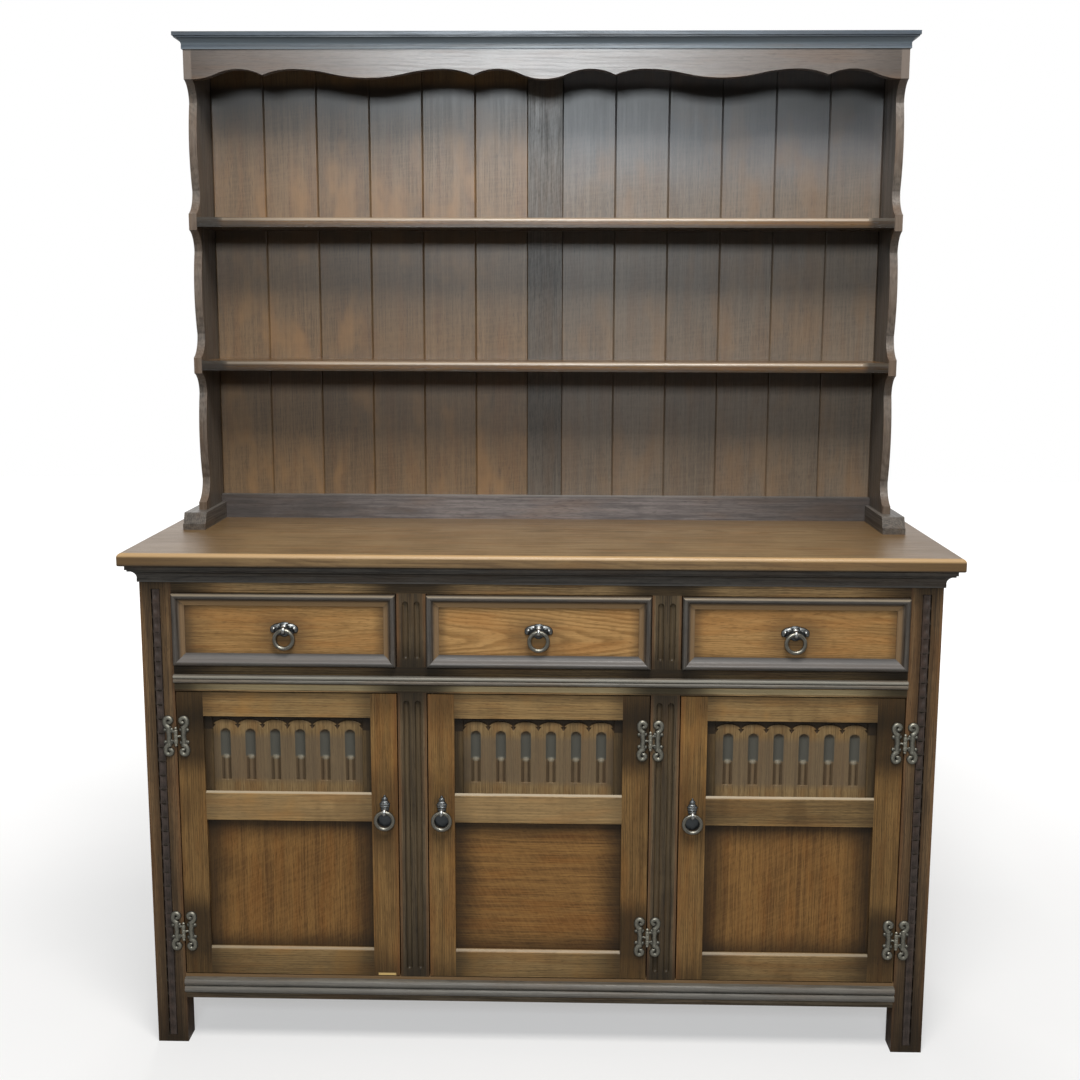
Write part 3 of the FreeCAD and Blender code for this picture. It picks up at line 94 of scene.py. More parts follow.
SCOOP_STEP = 0.0010
SCOOP_LIP = 0.0003
CARVED_CREASE = math.radians(50)


class Finish:
    """A finish put together node by node. Fixed numbers go on the sockets, all else is linked."""

    def __init__(self, name):
        self.material = bpy.data.materials.new(name)
        self.material.use_nodes = True
        self.tree = self.material.node_tree
        self.shader = self.tree.nodes["Principled BSDF"]
        self.place = self.add("ShaderNodeTexCoord").outputs["Object"]
        self.axes = self.add("ShaderNodeSeparateXYZ", {0: self.place}).outputs
        number = len(bpy.data.materials)
        self.shift = tuple(step * number for step in NOISE_SHIFT)

    def put(self, node, inputs):
        for socket, value in inputs.items():
            if isinstance(value, bpy.types.NodeSocket):
                self.tree.links.new(value, node.inputs[socket])
            else:
                node.inputs[socket].default_value = value

    def add(self, kind, inputs=None, **choices):
        node = self.tree.nodes.new(kind)
        for choice, value in choices.items():
            setattr(node, choice, value)
        self.put(node, inputs or {})
        return node

    def sum(self, operation, *values):
        node = self.add("ShaderNodeMath", dict(enumerate(values)), operation=operation)
        return node.outputs[0]

    def spread(self, value, start, end, low=0.0, high=1.0):
        limits = {"Value": value, "From Min": start, "From Max": end, "To Min": low, "To Max": high}
        return self.add("ShaderNodeMapRange", limits, interpolation_type="SMOOTHSTEP").outputs[0]

    def mix(self, share, first, second):
        colours = {0: share}
        for socket, colour in ((6, first), (7, second)):
            fixed = isinstance(colour, tuple)
            colours[socket] = (*colour, 1.0) if fixed else colour
        return self.add("ShaderNodeMix", colours, data_type="RGBA").outputs[2]

    def cloud(self, size, detail=2.0, turn=(0.0, 0.0, 0.0)):
        """Soft noise whose features are as large as size says, in metres along X, Y and Z."""
        lay = {"Vector": self.place, "Location": self.shift, "Rotation": turn, "Scale": size}
        where = self.add("ShaderNodeMapping", lay, vector_type="TEXTURE").outputs[0]
        grain = {"Vector": where, "Scale": 1.0, "Detail": detail, "Roughness": NOISE_ROUGH}
        return self.add("ShaderNodeTexNoise", grain).outputs["Fac"]

    def wash(self, colour, washes, drift):
        """Lays each wash over the colour: (tint, strength, (axis, from, to), ...)."""
        for tint, strength, *ranges in washes:
            share = None
            for axis, start, end in ranges:
                along = self.axes[axis] if isinstance(axis, str) else axis(self)
                reach = abs(end - start)
                if isinstance(axis, str) and reach > DRIFT_FROM:
                    along = self.sum("MULTIPLY_ADD", drift, DRIFT_SHARE * reach, along)
                high = 1.0 if share else strength
                part = self.spread(along, start, end, 0.0, high)
                share = self.sum("MULTIPLY", share, part) if share else part
            colour = self.mix(share, colour, tint)
        return colour


def stretched(grain, length, width):
    """A feature's size, long along the grain and narrow across it."""
    size = [width, width, width]
    size[AXES.index(grain)] = length
    return size


def oak(name, grain, tones, heart, ring=0.0035, figure=0.20, slope=0.0, sway=0.014, fleck=0.0,
        flake=(0.0042, 0.026), lean=FLECK_LEAN, washes=(), gloss=0.42, patchy=0.055, shine=0.15,
        relief=0.30):
    """Stained oak: growth rings round the heart of the tree, pores along the grain, then the washes:
    stain, and also painted shade, sheen and highlights.
    """
    finish = Finish(name)
    dark, light = tones
    round_heart = {"Vector": finish.place, "Location": heart, "Scale": stretched(grain, LOG_LENGTH, 1.0)}
    off_heart = finish.add("ShaderNodeMapping", round_heart, vector_type="TEXTURE").outputs[0]
    radius = finish.add("ShaderNodeVectorMath", {0: off_heart}, operation="LENGTH").outputs["Value"]
    taper = finish.sum("MULTIPLY_ADD", finish.axes[grain], slope, radius)
    bent = finish.sum("MULTIPLY_ADD", finish.cloud(stretched(grain, *SWAY_SIZE), 3.0), sway, taper)
    year = finish.sum("FRACT", finish.sum("DIVIDE", bent, ring))
    summer = finish.sum("MULTIPLY", finish.spread(year, *SUMMER_RISE), finish.spread(year, *SUMMER_FALL))
    streak = finish.spread(finish.cloud(stretched(grain, *STREAK_SIZE), 4.0), *MIDDLING)
    fibre = finish.spread(finish.cloud(stretched(grain, *FIBRE_SIZE), 5.0), *MIDDLING)
    blotch = finish.cloud(BLOTCH_SIZE, 3.0)
    pores = finish.spread(finish.cloud(stretched(grain, *PORE_SIZE), 1.0), *PORE_SPAN)
    rest = 1.0 - figure
    tone = finish.sum("MULTIPLY", summer, figure)
    tone = finish.sum("MULTIPLY_ADD", streak, STREAK_SHARE * rest, tone)
    tone = finish.sum("MULTIPLY_ADD", fibre, FIBRE_SHARE * rest, tone)
    tone = finish.sum("ADD", tone, finish.spread(blotch, *MIDDLING, 0.0, BLOTCH_SHARE * rest))
    tone = finish.spread(tone, *TONE_SPAN)
    colour = finish.mix(tone, dark, light)
    uneven = finish.cloud(stretched(grain, *STAIN_SIZE), 3.0)
    ruddy = tuple(part * share for part, share in zip(light, RUDDY_SHARES))
    colour = finish.mix(finish.spread(uneven, *STAIN_SPAN), colour, ruddy)
    if fleck:
        flakes = finish.cloud(stretched(grain, *flake), 1.0, (0.0, lean, 0.0))
        pale = tuple(min(1.0, PALE_SHARE * part) for part in light)
        colour = finish.mix(finish.spread(flakes, *FLECK_SPAN, 0.0, fleck), colour, pale)
    deep = tuple(DEEP_SHARE * part for part in dark)
    colour = finish.mix(pores, colour, deep)
    colour = finish.wash(colour, washes, finish.sum("SUBTRACT", blotch, 0.5))
    height = finish.sum("SUBTRACT", finish.sum("MULTIPLY", fibre, FIBRE_RISE), pores)
    bump = finish.add("ShaderNodeBump", {"Strength": relief, "Distance": GRAIN_HEIGHT, "Height": height})
    finish.put(finish.shader, {
        "Base Color": colour,
        "Roughness": finish.spread(tone, *TONE_SPAN, gloss + patchy, gloss - patchy),
        "Specular IOR Level": shine,
        "Normal": bump.outputs["Normal"],
    })
    return finish.material


def dress(node, materials, choose=None):
    """Gives a node its finishes; choose says from a face's middle which of them it takes."""
    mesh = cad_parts[node].data
    mesh.materials.clear()
    for material in materials:
        mesh.materials.append(material)
    for face in mesh.polygons:
        face.material_index = choose(face.center) if choose else 0


def stain(node, *timber, **look):
    """Gives a node one oak all over."""
    dress(node, [oak(*timber, **look)])


def shaded(tones, shade):
    """A lighter or darker board of the same wood."""
    return tuple(tuple(shade * part for part in tone) for tone in tones)


def ends(axis, low, high, reach, tint, strength):
    """A wash at each end of a run, fading out over reach."""
    return [(tint, strength, (axis, low + reach, low)), (tint, strength, (axis, high - reach, high))]


def between(axis, low, high, fade):
    """The two ranges that keep a wash between low and high, fading out beyond them."""
    return (axis, low - fade, low), (axis, high + fade, high)


def around(axis, middle, half, fade):
    """The same, from half before a middle to half past it."""
    return between(axis, middle - half, middle + half, fade)


def alone(piece):
    """Leaves only this piece selected, and active."""
    bpy.ops.object.select_all(action="DESELECT")
    piece.select_set(True)
    bpy.context.view_layer.objects.active = piece


def joined(name, pieces):
    """Joins pieces into one, with its place in its mesh."""
    alone(pieces[0])
    for piece in pieces[1:]:
        piece.select_set(True)
    if len(pieces) > 1:
        bpy.ops.object.join()
    whole = bpy.context.object
    whole.name = name
    bpy.ops.object.transform_apply(location=True, rotation=True, scale=True)
    return whole


def add_piece(name, master, spots, finish, body, node=None):
    """Copies a master to each spot, (x, y, z, way), turned over left to right where way is -1, and
    joins the copies into one piece that rides on a body, in place of a node where one is named."""
    copies = []
    for x, y, z, way in spots:
        copy = master.copy()
        copy.data = master.data.copy()
        bpy.context.collection.objects.link(copy)
        copy.data.transform(Matrix.Translation((x, y, z)) @ Matrix.Diagonal((way, 1.0, 1.0, 1.0)))
        if way < 0:
            copy.data.flip_normals()
        copies.append(copy)
    piece = joined(name, copies)
    piece.data.materials.append(finish)
    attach(piece, body)
    if node:
        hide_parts(node)


def eased(value, start, end):
    """From 0 at start to 1 at end, with soft shoulders."""
    share = min(1.0, max(0.0, (value - start) / (end - start)))
    return share * share * (3.0 - 2.0 * share)


def gouged_depth(x, z):
    """How deep the channel is at x from its middle and at height z: a row of rounded scoops."""
    along = (z - CHANNEL_SPAN[0]) % SCOOP_PITCH / SCOOP_PITCH
    scoop = max(0.0, 1.0 - (x / SCOOP_HALF) ** 2) * math.sin(math.pi * along) ** 2
    wall = eased(abs(x), SCOOP_HALF - SCOOP_LIP, CHANNEL_HALF)
    return CHANNEL_LAND + SCOOP_DEPTH * scoop + (CHANNEL_DEPTH - CHANNEL_LAND) * wall


def carved_board(name, width, foot, head, front, back, step, depth_at):
    """A board cut to a depth at each x and z of its front, with square edges and a flat back."""
    tall = head - foot
    bpy.ops.object.select_all(action="DESELECT")
    bpy.ops.mesh.primitive_grid_add(x_subdivisions=round(width / step), y_subdivisions=round(tall / step),
                                    size=1.0, location=(0.0, front, (foot + head) / 2),
                                    rotation=(QUARTER_TURN, 0.0, 0.0))
    bpy.context.object.scale = (width, tall, 1.0)
    board = joined(name, [bpy.context.object])
    for vertex in board.data.vertices:
        vertex.co.y += depth_at(vertex.co.x, vertex.co.z)
    bpy.ops.object.mode_set(mode="EDIT")
    bpy.ops.mesh.select_mode(type="EDGE")
    bpy.ops.mesh.select_all(action="DESELECT")
    bpy.ops.mesh.select_non_manifold()
    bpy.ops.mesh.extrude_edges_move(TRANSFORM_OT_translate={"value": (0.0, back - front, 0.0)})
    bpy.ops.transform.resize(value=(1.0, 0.0, 1.0), center_override=(0.0, back, 0.0))
    bpy.ops.mesh.edge_face_add()
    bpy.ops.mesh.select_all(action="SELECT")
    bpy.ops.mesh.normals_make_consistent(inside=False)
    bpy.ops.object.mode_set(mode="OBJECT")
    bpy.ops.object.shade_smooth_by_angle(angle=CARVED_CREASE)
    return board


channel_master = carved_board("stile_channel_master", 2 * CHANNEL_HALF, *CHANNEL_SPAN, 0.0, CHANNEL_BACK,
                              SCOOP_STEP, gouged_depth)
for side in SIDES:
    low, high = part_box(f"front_stile_{side}")
    middle = (low.x + high.x) / 2
    heart = (middle + 0.09, low.y + 0.02, 0.0)
    in_channel = around("X", middle, CHANNEL_HALF, CHANNEL_LIP)
    stile_washes = [
        (DARK_STAIN_AND_SHADE, 0.45, *around("X", middle, 0.010, 0.010)),
        *ends("X", low.x, high.x, 0.007, RUBBED_RED, 0.28),
        *ends("Z", low.z, high.z, 0.110, DARK_STAIN_AND_SHADE, 0.60),
        (DARK_STAIN_AND_SHADE, 0.35, ("Z", *STILE_FOOT_FADE)),
        # Painted shade: the channel darkened wherever it is cut into the face.
        (DARK_STAIN_AND_SHADE, 0.90, ("Y", low.y + 0.0002, low.y + 0.0012), *in_channel),
    ]
    stain(f"front_stile_{side}", f"{side}_stile_oak", "Z", STILE_TONES, heart, ring=0.003, slope=0.012,
          washes=stile_washes)
    # Painted shade in the carved channel: darker with depth and at its walls.
    in_scoops = [
        (DARK_STAIN_AND_SHADE, 0.45, ("Y", low.y + 0.0012, low.y + 0.0032)),
        *ends("X", middle - CHANNEL_HALF, middle + CHANNEL_HALF, 0.0018, DARK_STAIN_AND_SHADE, 0.80),
    ]
    channel_oak = oak(f"{side}_channel_oak", "Z", CHANNEL_TONES, heart, ring=0.003, slope=0.012,
                      washes=in_scoops, shine=0.30)
    add_piece(f"{side}_stile_channel", channel_master, [(middle, low.y, 0.0, 1)], channel_oak,
              "carcase")
bpy.data.objects.remove(channel_master)

# Side frames: the back posts, three rails tenoned between posts at each side, and a flat panel of
# quarter-sawn oak held loose in a groove. The stain is sprayed darker round the frame and the panel.
SIDE_TONES = ((0.040, 0.019, 0.008), (0.125, 0.058, 0.019))
PANEL_TONES = ((0.100, 0.048, 0.016), (0.213, 0.110, 0.034))

low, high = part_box("back_stiles")
stain("back_stiles", "back_stile_oak", "Z", SIDE_TONES, (0.0, 0.31, 0.0), ring=0.003, slope=0.010,
      washes=ends("Z", low.z, high.z, 0.110, DARK_STAIN_AND_SHADE, 0.65))
low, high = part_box("side_rails")
stain("side_rails", "side_rail_oak", "Y", SIDE_TONES, (0.60, 0.0, 0.30), slope=0.010,
      washes=ends("Y", low.y, high.y, 0.100, DARK_STAIN_AND_SHADE, 0.75))
low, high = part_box("side_panels")
panel_edges = [*ends("Y", low.y, high.y, 0.065, DARK_STAIN_AND_SHADE, 0.80), *ends("Z", low.z, high.z, 0.085, DARK_STAIN_AND_SHADE, 0.80)]
stain("side_panels", "side_panel_oak", "Z", PANEL_TONES, (0.0, -0.30, 0.0), ring=0.0045, slope=0.015,
      fleck=0.25, washes=panel_edges)

# Front rails and muntins: the rails over the drawers, under them and under the doors are tenoned into
# the stiles, and two uprights with a pair of gouged flutes part the bays. The rails are left a
# lighter brown in the middle of each bay and are sprayed dark where they meet an upright, and a
# shadow is painted on the rail just under the drawers.
RAIL_TONES = ((0.077, 0.046, 0.021), (0.285, 0.185, 0.085))
RAIL_PALE = (0.420, 0.340, 0.190)
FOOT_RAIL_TONES = ((0.039, 0.029, 0.017), (0.143, 0.109, 0.073))
FOOT_RAIL_BROWN = (0.210, 0.125, 0.058)
MUNTIN_TONES = ((0.035, 0.027, 0.019), (0.150, 0.106, 0.058))
BAY_HALF = 0.186
BAY_PITCH = 0.420
MUNTIN_HALF = 0.024
FLUTES_HALF = 0.0145
UPRIGHTS = (-BAY_PITCH / 2, BAY_PITCH / 2)
MID_RAIL = (0.628, 0.672)
UNDER_REEDS = (0.632, 0.639)
# Painted shadow on the rail under the drawers: from and to in Z.
SHADE_UNDER_DRAWERS = (0.655, 0.676)
DOOR_FOOT = 0.128
MUNTIN_FOOT_FADE = (0.230, DOOR_FOOT)

low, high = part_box("front_rails")
face = low.y
rail_washes = [
    (RAIL_PALE, 0.55, *between("Z", *UNDER_REEDS, 0.002)),
    *ends("X", -BAY_PITCH - BAY_HALF, BAY_PITCH + BAY_HALF, 0.110, DARK_STAIN_AND_SHADE, 0.85),
    *[(DARK_STAIN_AND_SHADE, 0.85, *around("X", upright, MUNTIN_HALF, 0.080)) for upright in UPRIGHTS],
    # painted shadow on the rail just under the drawers
    (DARK_STAIN_AND_SHADE, 0.62, *between("Z", *SHADE_UNDER_DRAWERS, 0.003)),
]
rail_oak = oak("front_rail_oak", "X", RAIL_TONES, (0.0, face + 0.08, 0.55), slope=0.006, washes=rail_washes)
foot_rail_oak = oak("bottom_rail_oak", "X", FOOT_RAIL_TONES, (0.0, face + 0.06, 0.02),
                    washes=[(FOOT_RAIL_BROWN, 0.70, ("Z", DOOR_FOOT - 0.012, DOOR_FOOT - 0.009))])
dress("front_rails", [rail_oak, foot_rail_oak], lambda spot: int(spot.z < DOOR_FOOT))
dress("back_rails", [foot_rail_oak])

muntin_washes = []
for upright in UPRIGHTS:
    flutes = around("X", upright, FLUTES_HALF, 0.001)
    muntin_washes += [
        (DARK_STAIN_AND_SHADE, 0.45, *around("X", upright, 0.014, 0.007)),
        (RUBBED_RED, 0.35, *around("X", upright - MUNTIN_HALF, 0.002, 0.004)),
        (RUBBED_RED, 0.35, *around("X", upright + MUNTIN_HALF, 0.002, 0.004)),
        (MUNTIN_TONES[1], 0.18, ("Y", face + 0.0020, face + 0.0040), *flutes),
    ]
muntin_washes += [(DARK_STAIN_AND_SHADE, 0.70, *between("Z", *MID_RAIL, 0.060)), (DARK_STAIN_AND_SHADE, 0.60, ("Z", *MUNTIN_FOOT_FADE))]
stain("muntins", "muntin_oak", "Z", MUNTIN_TONES, (0.05, face + 0.06, 0.0), ring=0.003,
      washes=muntin_washes)

# Cupboard inside: a floor board let into the rails, a thin back panel nailed on from behind, drawer
# runners with guides and kickers, and behind each door a block with a stud that catches it. This wood
# is pale, planed and unstained.
PLAIN_TONES = ((0.230, 0.140, 0.070), (0.400, 0.270, 0.150))
BACK_TONES = ((0.120, 0.070, 0.034), (0.210, 0.130, 0.066))
PLANED = 0.58

stain("floor_board", "floor_board_wood", "X", BACK_TONES, (0.0, 0.30, 0.02), gloss=0.56)
stain("base_back_panel", "back_panel_wood", "X", BACK_TONES, (0.0, 0.12, 0.50), ring=0.006, slope=0.03,
      figure=0.40, gloss=PLANED)
stain("drawer_runners", "runner_wood", "Y", PLAIN_TONES, (0.10, 0.0, 0.60), gloss=PLANED)
stain("door_catches", "catch_wood", "Z", PLAIN_TONES, (0.0, -0.10, 0.0), gloss=0.50)

# Top board: a wide oak board, screwed down from inside, with its edges rounded over. It has a satin
# lacquer, mid brown, and the front edge is worn paler by use, with a highlight painted on its upper
# arris. Shade is painted on the top under the rack and along the lower edge.
TOP_DARK = (0.095, 0.056, 0.024)
TOP_LIGHT = (0.290, 0.192, 0.092)
TOP_WEAR_AND_HIGHLIGHT = (0.390, 0.250, 0.118)
# Painted shade on the top under the rack: from and to in Y.
SHADE_UNDER_RACK = (0.060, 0.190)
SATIN = 0.38

low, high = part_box("top_board")
on_nosing = (*between("Y", low.y + 0.0005, low.y + 0.0050, 0.003), ("Z", high.z - 0.008, high.z - 0.004))
top_washes = [
    *ends("X", low.x, high.x, 0.280, TOP_DARK, 0.75),
    # painted shade under the rack
    (TOP_DARK, 0.60, ("Y", *SHADE_UNDER_RACK)),
    (TOP_DARK, 0.50, ("Y", low.y + 0.012, low.y + 0.002)),
    # wear, with a painted highlight on the upper arris of the front edge
    (TOP_WEAR_AND_HIGHLIGHT, 0.90, *on_nosing),
    # painted shade along the lower edge
    (DARK_STAIN_AND_SHADE, 0.70, ("Z", low.z + 0.005, low.z)),
]
stain("top_board", "top_oak", "X", (TOP_DARK, TOP_LIGHT), (0.0, 0.05, low.z - 0.06), ring=0.003, slope=0.02,
      washes=top_washes, gloss=SATIN, shine=0.35)

# Mouldings of the base: a cove under the top board, mitred round three sides, and reeds glued along
# the middle and bottom rails. They are sprayed almost black, with a grey sheen and highlights painted
# on the ridges.
MOULDING_TONES = ((0.025, 0.022, 0.019), (0.076, 0.066, 0.056))
# Painted sheen: a grey line laid on ridges and top edges.
PAINTED_SHEEN = (0.200, 0.192, 0.180)
STILE_OUTSIDE = 0.658
REED_TONES = ((0.068, 0.062, 0.052), (0.145, 0.133, 0.112))
# Painted highlight on the upper reed of the middle rail.
REED_HIGHLIGHT = (0.340, 0.325, 0.275)
MID_REED_FOOT = 0.640
UPPER_REED_FOOT = 0.6485
WAXED = 0.36


def at_return(spot, half, front):
    """True past the mitre, on the part of a moulding that runs from front to back."""
    return int(abs(spot.x) - half > front - spot.y)


low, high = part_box("top_moulding")
# painted sheen along the lower edge of the cove
cove_ridge = [(PAINTED_SHEEN, 0.20, ("Z", low.z + 0.004, low.z + 0.0005))]
cove_oaks = [oak(name, grain, MOULDING_TONES, (0.0, 0.0, 0.80), washes=cove_ridge, gloss=SATIN)
             for name, grain in (("top_cove_oak", "X"), ("side_cove_oak", "Y"))]
dress("top_moulding", cove_oaks, lambda spot: at_return(spot, STILE_OUTSIDE, face))

low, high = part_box("rail_mouldings")
on_upper_reed = ("Z", UPPER_REED_FOOT, UPPER_REED_FOOT + 0.001)
on_foot_reeds = ("Z", MID_REED_FOOT, MID_REED_FOOT - 0.001)
# Painted highlight on the upper reed, and painted sheen on the reeds of the bottom rail.
reed_ridge = [
    (REED_HIGHLIGHT, 0.45, ("Y", high.y - 0.0066, high.y - 0.0085), on_upper_reed),
    (PAINTED_SHEEN, 0.28, ("Y", high.y - 0.0075, low.y), on_foot_reeds),
]
stain("rail_mouldings", "reed_oak", "X", REED_TONES, (0.0, face, 0.40), washes=reed_ridge, gloss=WAXED)

# Rack back: twelve narrow boards with bevelled edges on either side of a muntin, nailed up from
# behind. They are quarter-sawn, so the rays show as flecks across the grain, and no two match.
WARM_BOARD = ((0.088, 0.053, 0.025), (0.150, 0.093, 0.046))
GREY_BOARD = ((0.086, 0.063, 0.043), (0.139, 0.103, 0.070))
BACK_MUNTIN_TONES = ((0.050, 0.040, 0.031), (0.105, 0.086, 0.068))
BOARD_ORANGE = (0.210, 0.114, 0.044)
# A cool reflection painted on the upper part of the boards right of the muntin.
COOL_REFLECTION = (0.116, 0.134, 0.160)
COOL_REFLECTION_FADE = (1.420, 1.580)
BOARD_SHADES = (1.00, 1.08, 0.90, 0.96, 1.04, 1.10, 0.98, 1.05, 0.92, 1.00, 0.94, 1.02)
BOARD_COUNT = 6
BOARD_FLAKE = (0.0038, 0.045)
BOARD_LEAN = -0.12
BACK_MUNTIN_HALF = 0.0315
PATCH_SIZE = (0.07, 0.07, 0.16)
# Painted shadows under the frieze and the two shelves: the underside's height, how far down the shadow
# reaches, and how dark it is.
PAINTED_SHADOWS = ((1.650, 0.100, 0.90), (1.399, 0.055, 0.60), (1.147, 0.055, 0.60))

low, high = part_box("rack_back_boards")
board_width = (high.x - BACK_MUNTIN_HALF) / BOARD_COUNT
on_front = ("Y", high.y - 0.001, high.y - 0.003)


def board_number(spot):
    """Which back board a face is on, counted from the left."""
    from_middle = (abs(spot.x) - BACK_MUNTIN_HALF) / board_width
    step = min(BOARD_COUNT - 1, max(0, int(from_middle)))
    return BOARD_COUNT - 1 - step if spot.x < 0 else BOARD_COUNT + step


def warm_patches(finish):
    """Broad patches where the stain took less and the wood shows through."""
    return finish.cloud(PATCH_SIZE, 3.0)


board_oaks = []
for number, shade in enumerate(BOARD_SHADES):
    warm = number < BOARD_COUNT
    tones = shaded(WARM_BOARD if warm else GREY_BOARD, shade)
    start = (low.x if warm else BACK_MUNTIN_HALF) + number % BOARD_COUNT * board_width
    heart = (start + (0.30 if number % 3 else -0.16), 0.24, 0.0)
    # Painted reflection: a cool sheen on the upper part of each right-hand board.
    board_washes = [] if warm else [(COOL_REFLECTION, 0.50, ("Z", *COOL_REFLECTION_FADE), on_front)]
    board_washes += [
        (BOARD_ORANGE, 0.65 if warm else 0.25, (warm_patches, 0.50, 0.68)),
        *ends("X", start, start + board_width, 0.0016, DARK_STAIN_AND_SHADE, 0.15),
        # painted shadow under the frieze and under each shelf
        *[(DARK_STAIN_AND_SHADE, strength, ("Z", ceiling - reach, ceiling), ("Z", ceiling + 0.020, ceiling), on_front)
          for ceiling, reach, strength in PAINTED_SHADOWS],
    ]
    ring = 0.004 + 0.0005 * (number % 4)
    slope = 0.010 * (number % 3 - 1)
    board_oaks.append(oak(f"back_board_oak_{number + 1}", "Z", tones, heart, ring=ring, figure=0.12,
                          slope=slope, fleck=0.13, flake=BOARD_FLAKE, lean=BOARD_LEAN, washes=board_washes,
                          gloss=0.39, patchy=0.015, shine=0.62, relief=0.03))
dress("rack_back_boards", board_oaks, board_number)
stain("rack_back_muntin", "back_muntin_oak", "Z", BACK_MUNTIN_TONES, (0.20, 0.22, 0.0), ring=0.003,
      fleck=0.12, gloss=SATIN, shine=0.45)

# Rack sides, feet and rail: the sides are sawn to a shaped front edge and housed into bracket feet
# that stand on the top board, and a flat rail ties the feet behind. All are sprayed blackish brown,
# with a sheen painted along the top edges of the feet and the rail, and the rail's tones are greyed
# as a painted sheen.
RACK_TONES = ((0.038, 0.032, 0.027), (0.125, 0.106, 0.088))
# The rail's tones are greyed as a painted sheen.
RACK_RAIL_TONES = ((0.074, 0.063, 0.060), (0.178, 0.152, 0.144))
FRIEZE_TONES = ((0.084, 0.067, 0.056), (0.120, 0.098, 0.083))
EDGE_BROWN = (0.150, 0.080, 0.036)
SIDE_EDGE_FADE = (0.115, 0.085)
FRIEZE_TOP_FADE = (1.640, 1.650)

side_washes = [
    (EDGE_BROWN, 0.30, ("Y", *SIDE_EDGE_FADE)),
    (FRIEZE_TONES[1], 0.70, ("Z", *FRIEZE_TOP_FADE)),
]
for side in SIDES:
    low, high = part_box(f"rack_side_{side}")
    stain(f"rack_side_{side}", f"{side}_rack_side_oak", "Z", RACK_TONES, ((low.x + high.x) / 2, 0.30, 0.0),
          ring=0.003, washes=side_washes, shine=0.40)
low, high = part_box("rack_feet")
# painted sheen along the top edge of the feet
foot_edge = [(PAINTED_SHEEN, 0.20, ("Z", high.z - 0.003, high.z))]
stain("rack_feet", "rack_foot_oak", "Y", RACK_TONES, (0.60, 0.0, 0.84), washes=foot_edge, shine=0.25)
low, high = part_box("rack_bottom_rail")
rail_washes = [
    # painted sheen along the top edge of the rail
    (PAINTED_SHEEN, 0.55, ("Z", high.z - 0.003, high.z)),
    *ends("X", low.x, high.x, 0.420, DARK_STAIN_AND_SHADE, 0.62),
]
stain("rack_bottom_rail", "rack_rail_oak", "X", RACK_RAIL_TONES, (0.0, 0.24, 0.88), washes=rail_washes,
      gloss=WAXED, shine=0.45)

# Plate shelves: two oak shelves housed into the sides. The front edge is rounded and worn golden in
# the middle, with a highlight painted on its upper arris and shade painted on its lower half and
# underside, and its last part is left square and dark at each end.
SHELF_TONES = ((0.055, 0.028, 0.011), (0.150, 0.084, 0.034))
SHELF_TOPS = (1.416, 1.164)
NOSING_WEAR_AND_HIGHLIGHT = (0.400, 0.330, 0.250)
NOSING_STOP = 0.045

low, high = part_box("plate_shelves")
on_edge = ("Y", low.y + 0.009, low.y + 0.001)
near_edge = ("Y", low.y + 0.030, low.y + 0.010)
shelf_washes = []
for top in SHELF_TOPS:
    shelf_washes += [
        # Wear with a painted highlight on the upper arris, then painted shade on the lower half and
        # underside.
        (NOSING_WEAR_AND_HIGHLIGHT, 0.55, on_edge, ("Z", top - 0.0075, top - 0.0035), ("Z", top + 0.004, top)),
        (DARK_STAIN_AND_SHADE, 0.70, ("Z", top - 0.0090, top - 0.0160), ("Z", top - 0.030, top - 0.020)),
    ]
shelf_washes.append((DARK_STAIN_AND_SHADE, 0.55, ("X", low.x + 0.240, low.x + 0.060), near_edge))
for end, way in ((low.x, 1), (high.x, -1)):
    stop = ("X", end + way * (NOSING_STOP + 0.010), end + way * (NOSING_STOP - 0.006))
    shelf_washes.append((DARK_STAIN_AND_SHADE, 0.80, stop, near_edge))
stain("plate_shelves", "shelf_oak", "X", SHELF_TONES, (0.0, 0.14, 0.80), ring=0.003, washes=shelf_washes,
      gloss=0.32, shine=0.50)

# Frieze, rack top and cornice: a frieze sawn to a waved lower edge joins the sides at the front, a
# thin board closes the top, and a cove moulding is mitred round it. The frieze is greyish brown.
# The cornice's tones are tinted blue as a painted cool sheen, and highlights are painted on its ridges.
# The cornice's tones are tinted blue as a painted cool sheen.
CORNICE_TONES = ((0.024, 0.033, 0.044), (0.056, 0.073, 0.093))
CORNICE_HIGHLIGHT = (0.150, 0.180, 0.200)
RACK_HALF = 0.627

low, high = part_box("rack_frieze")
frieze_face = low.y
frieze_washes = [
    *ends("X", low.x, high.x, 0.090, DARK_STAIN_AND_SHADE, 0.35),
    (EDGE_BROWN, 0.30, ("Z", low.z + 0.010, low.z)),
]
stain("rack_frieze", "frieze_oak", "X", FRIEZE_TONES, (0.0, 0.20, 1.60), slope=0.01, washes=frieze_washes,
      gloss=0.29, patchy=0.020, shine=0.58, relief=0.04)
stain("rack_top_board", "rack_top_oak", "X", RACK_TONES, (0.0, 0.10, 1.60))
low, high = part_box("rack_cornice")
# Painted highlights along the upper and lower ridges.
upper_ridge = (CORNICE_HIGHLIGHT, 0.62, *between("Z", high.z - 0.018, high.z - 0.011, 0.003))
lower_ridge = (CORNICE_HIGHLIGHT, 0.45, ("Z", low.z + 0.004, low.z))
cornice_runs = (("cornice_oak", "X", [upper_ridge, lower_ridge]), ("side_cornice_oak", "Y", [lower_ridge]))
cornice_oaks = [oak(name, grain, CORNICE_TONES, (0.0, 0.0, 1.60), washes=ridges, gloss=WAXED, shine=0.50,
                    relief=0.12) for name, grain, ridges in cornice_runs]
dress("rack_cornice", cornice_oaks, lambda spot: at_return(spot, RACK_HALF, frieze_face))

